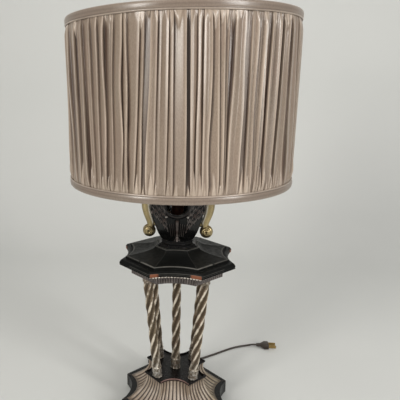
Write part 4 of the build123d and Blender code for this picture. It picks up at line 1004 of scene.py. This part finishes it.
def cap():
    rim = [(9.0, 287.1), (2.6, 287.1), (1.7, 287.25), (0.6, 287.7), (0.15, 288.4), (0.1, 289.2),
           (0.75, 289.8),
           (0.75, 290.2), (0.1, 290.8), (0.0, 291.6), (0.1, 292.3), (0.55, 292.8), (0.45, 293.3),
           (0.9, 294.1),
           (2.0, 295.6), (3.1, 296.8), (4.0, 297.0)]
    levels = [(*inset(RIM_PLAN, t), z) for t, z in dense(rim, 0.8)]
    step = [(-2.6, 296.9), (-1.3, 296.7), (-0.9, 297.3), (-0.9, 299.4), (-0.3, 300.5), (0.6, 300.95),
            (1.6, 301.05)]
    levels += [(*inset(PLATEAU_PLAN, t), z) for t, z in dense(step, 0.6)]
    start = inset(PLATEAU_PLAN, 1.6)
    for rise in np.linspace(0.02, 1, 30):
        share = 1 - (1 - rise) ** 2.2
        sag_extra = 2.6 * math.sin(math.pi * min(1, share * 1.02)) ** 1.5
        plan = between(start, ROOF_TOP, share)
        levels.append((plan[0], plan[1], plan[2] + sag_extra, 301.05 + (ROOF_Z - 301.05) * rise))
    levels += [(*inset(ROOF_TOP, 1.0), ROOF_Z + 0.25), (*inset(ROOF_TOP, 8.0), ROOF_Z + 0.2)]
    grid = plan_grid(levels, arc=CAP_ARC, flat=CAP_FLAT, soften=2)
    x, y, z = grid[..., 0], grid[..., 1], grid[..., 2]
    big, small = np.maximum(np.abs(x), np.abs(y)), np.minimum(np.abs(x), np.abs(y))
    rim_zone = np.interp(z, [287.2, 287.8, 293.2, 293.8], [0.5, 1, 1, 0.0])
    along = np.where(small < 42 - 0.02 * big, 42 - small, 60.0)
    uneven = 0.5 + 0.5 * np.sin(2.6 * np.arctan2(y, x) + 3.0)
    reach = (17 + 12 * uneven) * np.where(y < -60, 1, 0.55)
    patch = smoothstep(reach - along, -3, 7)
    hips = np.exp(-(corner_gap(grid) / 0.55) ** 2)
    # line: thin lines on the rim's and roof's edges and on the hips, stronger at the front, that the material
    # turns light grey: a painted highlight.
    line = (np.exp(-((z - 300.8) / 0.35) ** 2) * (big > 60) * (0.42 + 0.25 * (y < -60))
            + np.exp(-((z - 314.4) / 0.35) ** 2) * 0.55 + 0.25 * hips * (z > 301.2) * (z < 313.5))
    line = line + 0.5 * (np.exp(-((z - 293.1) / 0.4) ** 2) + np.exp(-((z - 290.6) / 0.35) ** 2)) * (y < -60)
    wear_and_glint = np.clip(rim_zone * patch, 0, 1)
    look = lacquer_look("cap_lacquer", (0.0042, 0.0044, 0.0042), (0.215, 0.078, 0.040),
                        wear_at=(0.30, 0.75),
                        roughness=(0.32, 0.55))
    before = look.bsdf.inputs["Base Color"].links[0].from_socket
    # Painted highlight: the light grey along the marked edges.
    edge_highlight = look.step(look.math("MULTIPLY", look.attribute("line"),
            look.math("ADD", look.noise(80, 4.0), 0.4)), 0.12, 0.6)
    look.put("Base Color", look.mix(edge_highlight, before, (0.17, 0.165, 0.15)))
    look.put("IOR", 1.3)
    loft("cap_shell", grid, look, caps=(True, True), slot="black_lacquer", replaces=["cap"],
         marks={"wear_and_glint": wear_and_glint, "line": np.clip(line, 0, 1)})


cove()
beads()
cap()


# --- urn -------------------------------------------------------------------------------------

URN_Z, URN_TOP_H, URN_WALL = 326.0, 72.0, 4.5
URN_HALF = ((0, 26.0), (5, 28.8), (11, 32.2), (19, 35.2), (29, 38.4), (38, 41.0), (48, 43.4), (58, 45.2),
            (72, 47.0))
NOTCH_R, NOTCH_LOW = 17.5, 50.0
FOOT_PLAN, NECK_PLAN = (33.0, 15.0, 2.0), (26.5, 12.4, 1.5)


def urn_look():
    look = Look("urn_lacquer", roughness=0.3, Specular_IOR_Level=0.2)
    rub_and_glint = look.attribute("wear_and_glint")
    patches = look.noise(95, 5.0, 0.7)
    amount = look.step(look.math("MULTIPLY", rub_and_glint, look.math("ADD", patches, 0.45)), 0.30, 0.78)
    tone = look.ramp(look.noise(60, 4.0), (0.38, (0.064, 0.042, 0.036)), (0.66, (0.18, 0.160, 0.150)))
    tone = look.mix(amount, (0.0036, 0.0036, 0.0036), tone)
    # The studs' light grey is a painted catchlight; the other mark also peaks on the studs, so their brown-grey
    # tone is partly painted highlight too.
    look.put("Base Color", look.mix(look.step(look.attribute("stud"), 0.3, 0.75), tone, (0.42, 0.40, 0.37)))
    look.put("Roughness", look.ramp(rub_and_glint, (0.1, 0.22), (0.8, 0.42)))
    look.bump(look.noise(420, 4.0), 0.00018, 0.4)
    return look


def urn_relief(h, kind, t, quarter):
    """Height of the carving above the plain urn, how worn it is with the studs' painted catchlight added in, and
    where its studs are.
    """
    across = 2 * t - 1                                    # hollow sides: -1 to 1
    x = np.where(kind == 0, across * NOTCH_R, NOTCH_R + 30 * np.minimum(t, 1 - t))
    rim = np.hypot(x, np.minimum(h - (NOTCH_LOW + NOTCH_R), 0)) - NOTCH_R
    collar = np.sqrt(np.clip(1 - ((rim - 3.4) / 3.6) ** 2, 0, 1)) * np.where(rim < 8, 1, 0)
    height = 1.9 * collar
    wear_and_glint = 0.42 * smoothstep(collar, 0.75, 1.0)
    # hollow sides: pilaster between fanned flutes
    side = kind == 0
    below = 1 - smoothstep(h, 40.0, 42.0)
    u = np.abs(across)
    arch = 1 - smoothstep(h, 34 - 18 * (u - 0.5) ** 2, 37.5 - 18 * (u - 0.5) ** 2)
    pilaster = 1 - smoothstep(u, 0.13, 0.17)
    flutes = np.sin(np.clip((u - 0.24) / 0.66, 0, 1) * math.pi * 3) ** 2
    height = height + side * below * (1.5 * pilaster - 0.9 * (smoothstep(u, 0.17, 0.2) - smoothstep(u,
            0.22, 0.25)))
    height = height + side * arch * (1.25 * flutes - 0.2) * smoothstep(h, 4, 8)
    wear_and_glint = wear_and_glint + side * (below * 0.62 * pilaster + arch * 0.62 * flutes ** 3 * smoothstep(h, 6, 14))
    bead = np.exp(-((u - 1.0) / 0.035) ** 2) * side + ~side * np.exp(-(np.minimum(t, 1 - t) / 0.02) ** 2)
    height = height + 0.6 * bead * below
    shell = side * (1 - smoothstep(u, 0.16 + 0.035 * (11 - h),
            0.22 + 0.035 * (11 - h))) * (1 - smoothstep(h, 9, 11))
    height = height + shell * (1.0 + 0.5 * np.sin(h * 2.1))
    wear_and_glint = wear_and_glint + shell * (0.45 + 0.35 * np.sin(h * 2.1))
    # diagonal panels: acanthus hanging from the rim towards the front's and the back's hips
    q = np.where(quarter % 2 == 0, t, 1 - t)
    edge = 15 + 27 * q
    leaf = (~side) * smoothstep(h, edge, edge + 4)
    up, out = h - edge, q * 34
    tip = 5.5 * np.abs(np.sin(math.pi * out / 8.5))       # leaf tips along the lower edge
    leaf = (~side) * smoothstep(h, edge + tip, edge + tip + 3)
    lobes = np.abs(np.sin(math.pi * (up - tip) / 11.0)) ** 0.6
    veins = 0.5 + 0.5 * np.sin(TAU * (out / 2.9 + 0.35 * np.sin(up * 0.5)))
    curl = 0.5 + 0.5 * np.sin(TAU * (up / 4.3 - out / 7.5) + 1.6 * np.sin(out * 0.55))
    carved = lobes * (0.45 + 0.55 * veins) * (0.45 + 0.55 * curl)
    height = height + leaf * (2.0 * carved - 0.5) * (1 - 0.8 * collar)
    wear_and_glint = wear_and_glint + leaf * carved ** 1.2 * 1.3 * (1 - 0.8 * collar)
    # small studs where the collar meets the hips, coloured as a painted catchlight
    reach = np.where(side, (1 - u) * 16, 34 * np.minimum(t, 1 - t))
    stud = np.exp(-((h - 47.5) ** 2 + reach ** 2) / 2.0)
    return height + 1.8 * stud, np.clip(wear_and_glint + 2.2 * stud, 0, 1), stud


def urn_body():
    """Bowl open at the top, with a collared notch in each hollow side, carved outside."""
    arc, flat, rows = 76, 60, 110
    unit = plan_ring((100.0, 39.0, 7.0), arc=arc, flat=flat, soften=2, even=True) / 100
    kind = np.tile(np.repeat([0, 1], [arc, flat]), 4)
    quarter = np.repeat(np.arange(4), arc + flat)
    t = np.tile(np.concatenate([np.arange(arc) / arc, np.arange(flat) / flat]), 4)
    across = np.clip((2 * t - 1) * NOTCH_R, -NOTCH_R, NOTCH_R)
    top = np.where(kind == 0, NOTCH_LOW + NOTCH_R - np.sqrt(NOTCH_R ** 2 - across ** 2), URN_TOP_H)
    top = smooth_rows(top, 1, closed=True)
    share = np.linspace(0, 1, rows)[:, None]
    h = share * top
    line = np.array(URN_HALF)
    half = np.interp(h, line[:, 0], line[:, 1])
    for _ in range(6):
        half[1:-1] = (half[:-2] + 2 * half[1:-1] + half[2:]) / 4
    outer = np.concatenate([unit * half[..., None], (URN_Z + h)[..., None]], -1)
    relief, wear_and_glint, stud = urn_relief(h, kind, t, quarter)
    fade = smoothstep(h, 0.0, 1.5) * smoothstep(top - h, -0.4, 0.5)
    outer = outer + normals(outer) * (relief * fade)[..., None]
    inner_rows = 26
    down = np.linspace(0, 1, inner_rows)[:, None]
    deep = top * (1 - down) + 5.0 * down
    thin = np.interp(deep, line[:, 0], line[:, 1]) - URN_WALL
    inner = np.concatenate([unit * thin[..., None], (URN_Z + deep)[..., None]], -1)
    edge = (outer[-1] * 0.5 + inner[0] * 0.5)[None] + np.array([0, 0, 0.35])
    grid = np.concatenate([outer, edge, inner])
    below = np.zeros((inner_rows + 1, grid.shape[1]))
    wear_and_glint = np.concatenate([wear_and_glint * fade, below[:1] + 0.25, below[1:]])
    loft("carved_urn", grid, urn_look(), caps=(True, True), slot="black_lacquer", replaces=["urn_body"],
         marks={"wear_and_glint": wear_and_glint, "stud": np.concatenate([stud, below])})


def urn_foot():
    shape = [(32.2, 314.5), (32.9, 314.8), (33.0, 315.4), (33.0, 316.2), (32.6, 316.7), (31.4, 316.8),
             (30.9, 317.1),
             (31.1, 317.8), (30.8, 318.6), (30.0, 319.1), (28.9, 319.3), (27.4, 320.0), (26.2, 321.2),
             (25.7, 322.4),
             (26.0, 323.0), (27.0, 323.3), (27.4, 323.9), (27.0, 324.6), (26.1, 324.9), (25.9, 326.0)]
    levels = [(*between(NECK_PLAN, FOOT_PLAN, (a - NECK_PLAN[0]) / 6.5), z) for a, z in dense(shape, 0.5)]
    grid = plan_grid(levels, arc=30, flat=24, soften=2)
    z = grid[..., 2]
    line = sum(np.exp(-((z - place) / 0.45) ** 2) for place in (316.7, 319.0, 324.0, 314.9))
    front = 0.45 + 0.55 * (np.minimum(np.abs(grid[..., 0]), np.abs(grid[..., 1])) < 13)
    loft("urn_foot_moulding", grid, lacquer, caps=(True, True), slot="black_lacquer", replaces=["urn_foot"],
         marks={"wear_and_glint": np.clip(0.75 * line * front, 0, 1)})


urn_body()
urn_foot()


# --- handles ---------------------------------------------------------------------------------

HANDLE_PATH = ((48.7, 11.6), (46.1, 20.0), (46.7, 27.5), (49.4, 35.5), (52.1, 44.0), (54.1, 54.5),
               (53.9, 63.5),
               (51.0, 71.5), (45.2, 76.2), (37.6, 75.8), (31.2, 69.4))
HANDLE_RADII = ((0.0, 5.6), (0.14, 6.3), (0.3, 7.0), (0.5, 7.6), (0.75, 7.7), (0.9, 6.8), (1.0, 5.6))


def aged_brass(name, light=(0.62, 0.49, 0.26), dark=(0.17, 0.115, 0.052), rough=(0.30, 0.48), scale=26.0,
               metal=0.85):
    """Brass with a brown patina in its hollows (mark "rib") and clouds of tarnish."""
    look = Look(name, light, 0.35, metal)
    cloud = look.step(look.noise(scale, 5.0, 0.62), 0.34, 0.70)
    tone = look.mix(cloud, light, tuple(0.55 * a + 0.45 * b for a, b in zip(light, dark)))
    speck = look.ramp(look.noise(scale * 22, 3.0, 0.7), (0.30, 1.0), (0.42, 0.0))
    tone = look.mix(look.math("MULTIPLY", speck, 0.6), tone, dark)
    low = look.ramp(look.attribute("rib"), (0.15, 1.0), (0.75, 0.0))
    look.put("Base Color", look.mix(low, tone, dark))
    look.put("Roughness", look.mix(cloud, (rough[0],) * 3, (rough[1],) * 3))
    look.bump(look.noise(scale * 18, 4.0), 0.00012, 0.35)
    return look


def brass_ball(centre, radius):
    """Ball carved as a snail on its front and back: points grid and marks."""
    turn, tilt = np.meshgrid(TAU * np.arange(64) / 64, np.linspace(0.02, math.pi - 0.02, 56))
    polar = np.minimum(tilt, math.pi - tilt)
    wind = polar / 0.40 - turn / TAU
    groove = np.abs(np.sin(math.pi * wind)) ** 0.8
    eye = np.exp(-(polar / 0.16) ** 2)
    grain = 0.12 * np.sin(22 * turn + 4 * polar) * smoothstep(polar, 0.4, 0.8)
    r = radius * (0.93 + 0.075 * groove + 0.015 * grain - 0.20 * eye)
    x, y, z = r * np.sin(tilt) * np.cos(turn), -r * np.cos(tilt), r * np.sin(tilt) * np.sin(turn)
    grid = np.stack([x, y, z], -1) + centre
    return grid, np.clip(0.25 + 0.75 * groove + grain - eye, 0, 1)


def handle(side, name, node, look):
    path = spline([(side * x, 0, URN_Z + z) for x, z in HANDLE_PATH], 130)
    along = np.gradient(path, axis=0)
    along /= np.linalg.norm(along, axis=1, keepdims=True)
    inward = np.cross(along, (0, 1, 0)) * side
    inward /= np.linalg.norm(inward, axis=1, keepdims=True)
    share = np.linspace(0, 1, len(path))
    radius = np.interp(share, *zip(*HANDLE_RADII))[:, None]
    angle = TAU * np.arange(48) / 48
    # strip: a raised fillet on the inner side that the brass paints nearly white, a painted highlight
    strip = np.exp(-((np.abs(np.angle(np.exp(1j * angle))) - 0.86) / 0.24) ** 4)
    strip = strip[None] * smoothstep(share, 0.10, 0.2)[:, None]
    channel = np.exp(-(np.angle(np.exp(1j * angle)) / 0.30) ** 2)[None] * np.ones_like(radius)
    r = radius * (1 + 0.10 * strip - 0.10 * channel)
    ring = (np.cos(angle)[None, :, None] * inward[:, None] + np.sin(angle)[None, :,
            None] * np.array([0, -1, 0]))
    tube = path[:, None] + r[..., None] * ring
    if side < 0:
        tube = tube[:, ::-1]
        strip = strip[:, ::-1]
        channel = channel[:, ::-1]
    # rib: low in the inner channel, which the brass paints dark as shade, and higher on the strip
    parts = [(tube, 0.82 + 0.18 * strip - 0.55 * channel, strip)]
    ball, ball_rib = brass_ball(np.array([side * 48.7, 0, URN_Z + 11.6]), 11.2)
    parts.append((ball, ball_rib, 0 * ball_rib))
    tip, tip_rib = brass_ball(np.array([side * 31.2, 0, URN_Z + 69.2]), 8.4)
    parts.append((tip, tip_rib, 0 * tip_rib))
    lug = np.array([(side * x, 0, URN_Z + 23.5) for x in np.linspace(32.0, 47.0, 12)])
    lug_grid = tube_grid(lug, np.array([6.6, 6.2, 5.4, 4.8, 4.4, 4.2, 4.2, 4.3, 4.6, 5.0, 5.4, 5.8]), 28)
    parts.append((lug_grid, np.full(lug_grid.shape[:2], 0.6), np.zeros(lug_grid.shape[:2])))
    points, faces, ribs, strips = [], [], [], []
    for grid, rib, bright in parts:
        start, (rows, cols) = len(points), grid.shape[:2]
        points += list(grid.reshape(-1, 3))
        ribs += list(np.asarray(rib).ravel())
        strips += list(np.asarray(bright).ravel())
        faces += grid_faces(rows, cols, offset=start)
        faces.append(tuple(start + j for j in range(cols - 1, -1, -1)))
        faces.append(tuple(start + (rows - 1) * cols + j for j in range(cols)))
    piece = add_mesh(name, points, faces, look, slot="brass", replaces=[node],
                     marks={"rib": ribs, "strip": strips})
    fix_normals(piece)


def fix_normals(piece):
    """Turns each closed shell of a piece to face outwards."""
    shape = bmesh.new()
    shape.from_mesh(piece.data)
    bmesh.ops.recalc_face_normals(shape, faces=shape.faces)
    shape.to_mesh(piece.data)
    shape.free()


handle_brass = aged_brass("handle_brass", (0.46, 0.37, 0.20), (0.060, 0.043, 0.020), (0.26, 0.42),
                          metal=0.95)
# Painted highlight: the strip's near-white colour, with almost no metal.
painted_strip_highlight = handle_brass.attribute("strip")
tone = handle_brass.bsdf.inputs["Base Color"].links[0].from_socket
handle_brass.put("Base Color", handle_brass.mix(painted_strip_highlight, tone, (0.95, 0.90, 0.77)))
handle_brass.put("Metallic", handle_brass.ramp(painted_strip_highlight, (0.1, 0.95), (0.7, 0.05)))
handle(-1, "brass_handle_left", "handle_left", handle_brass)
handle(1, "brass_handle_right", "handle_right", handle_brass)


# --- carried-over nodes ----------------------------------------------------------------------

def dress(look, *names):
    for name in names:
        piece = nodes[name]
        if not piece.material_slots:
            piece.data.materials.append(look.mat)
        for held in piece.material_slots:
            held.material = look.mat


def metal(name, light, dark, rough=(0.25, 0.45), scale=40.0, metallic=1.0, bump=0.0001):
    look = Look(name, light, 0.35, metallic)
    cloud = look.step(look.noise(scale, 5.0, 0.6), 0.35, 0.68)
    look.put("Base Color", look.mix(cloud, light, dark))
    look.put("Roughness", look.mix(cloud, (rough[0],) * 3, (rough[1],) * 3))
    look.bump(look.noise(scale * 14, 4.0, where=look.coords((1, 1, 0.2))), bump, 0.4)
    return look


def moulded(name, tone, rough=0.35, grain=700.0):
    look = Look(name, tone, rough, Specular_IOR_Level=0.4)
    look.put("Base Color", look.mix(look.noise(30, 4.0), tuple(0.8 * v for v in tone),
            tuple(1.25 * v for v in tone)))
    look.bump(look.noise(grain, 3.0), 0.00008, 0.4)
    return look


stem_look = Look("stem_brown", (0.035, 0.012, 0.008), 0.4, Specular_IOR_Level=0.3)
stem_look.put("Base Color", stem_look.mix(stem_look.noise(30, 4.0, where=stem_look.coords((1, 1, 0.15))),
                                          (0.022, 0.009, 0.006), (0.055, 0.022, 0.014)))
stem_look.bump(stem_look.noise(300, 3.0), 0.0001, 0.3)
glass = Look("frosted_bulb", (0.93, 0.92, 0.89), 0.28, Transmission_Weight=0.25, Coat_Weight=0.4)
glass.put("Base Color", glass.mix(glass.noise(12), (0.90, 0.89, 0.86), (0.95, 0.945, 0.92)))
glass.bump(glass.noise(1500, 2.0), 0.00004, 0.3)
iron = metal("cast_iron", (0.10, 0.10, 0.10), (0.05, 0.045, 0.04), (0.5, 0.75), 60, 0.7, 0.0005)
zinc = metal("zinc_steel", (0.56, 0.56, 0.57), (0.40, 0.40, 0.40))
white_wire = Look("lacquered_wire", (0.72, 0.70, 0.66), 0.4, Specular_IOR_Level=0.5)
white_wire.put("Base Color", white_wire.mix(white_wire.noise(80, 4.0), (0.64, 0.62, 0.58),
        (0.78, 0.76, 0.72)))
white_wire.bump(white_wire.noise(900, 3.0), 0.00006, 0.4)
lamp_brass = aged_brass("lamp_brass", (0.70, 0.54, 0.27), (0.36, 0.25, 0.10), (0.22, 0.36), 34, 1.0)
turned_brass = aged_brass("turned_brass", (0.72, 0.56, 0.29), (0.30, 0.21, 0.09), (0.18, 0.34), 48, 1.0)
shell_brass = aged_brass("shell_brass", (0.74, 0.60, 0.33), (0.42, 0.31, 0.14), (0.24, 0.38), 60, 1.0)
cap_alloy = metal("bulb_cap_alloy", (0.74, 0.74, 0.75), (0.58, 0.58, 0.57), (0.22, 0.4), 70)

dress(zinc, "base_washer", "base_nut", "weight_screws", "column_screws_lower", "column_screws_upper",
      "cap_washer",
      "cap_nut", "threaded_rod")
dress(white_wire, "spider", "shade_top_ring", "shade_bottom_ring", "shade_ribs")
dress(iron, "base_weight")
dress(stem_look, "stem_tube")
dress(lamp_brass, "harp", "harp_saddle", "ferrule_left", "ferrule_right", "plug_blades")
dress(turned_brass, "finial", "check_ring")
dress(shell_brass, "socket_cap", "socket_shell", "screw_shell")
dress(moulded("insulating_paper", (0.10, 0.075, 0.055), 0.7, 300), "socket_liner")
dress(moulded("bakelite_core", (0.030, 0.022, 0.018), 0.4), "socket_core")
dress(moulded("switch_knob", (0.012, 0.011, 0.011), 0.25), "switch_knob")
dress(moulded("rubber_bushing", (0.016, 0.014, 0.013), 0.55), "cord_bushing")
dress(cap_alloy, "bulb_base")
dress(glass, "bulb_glass")
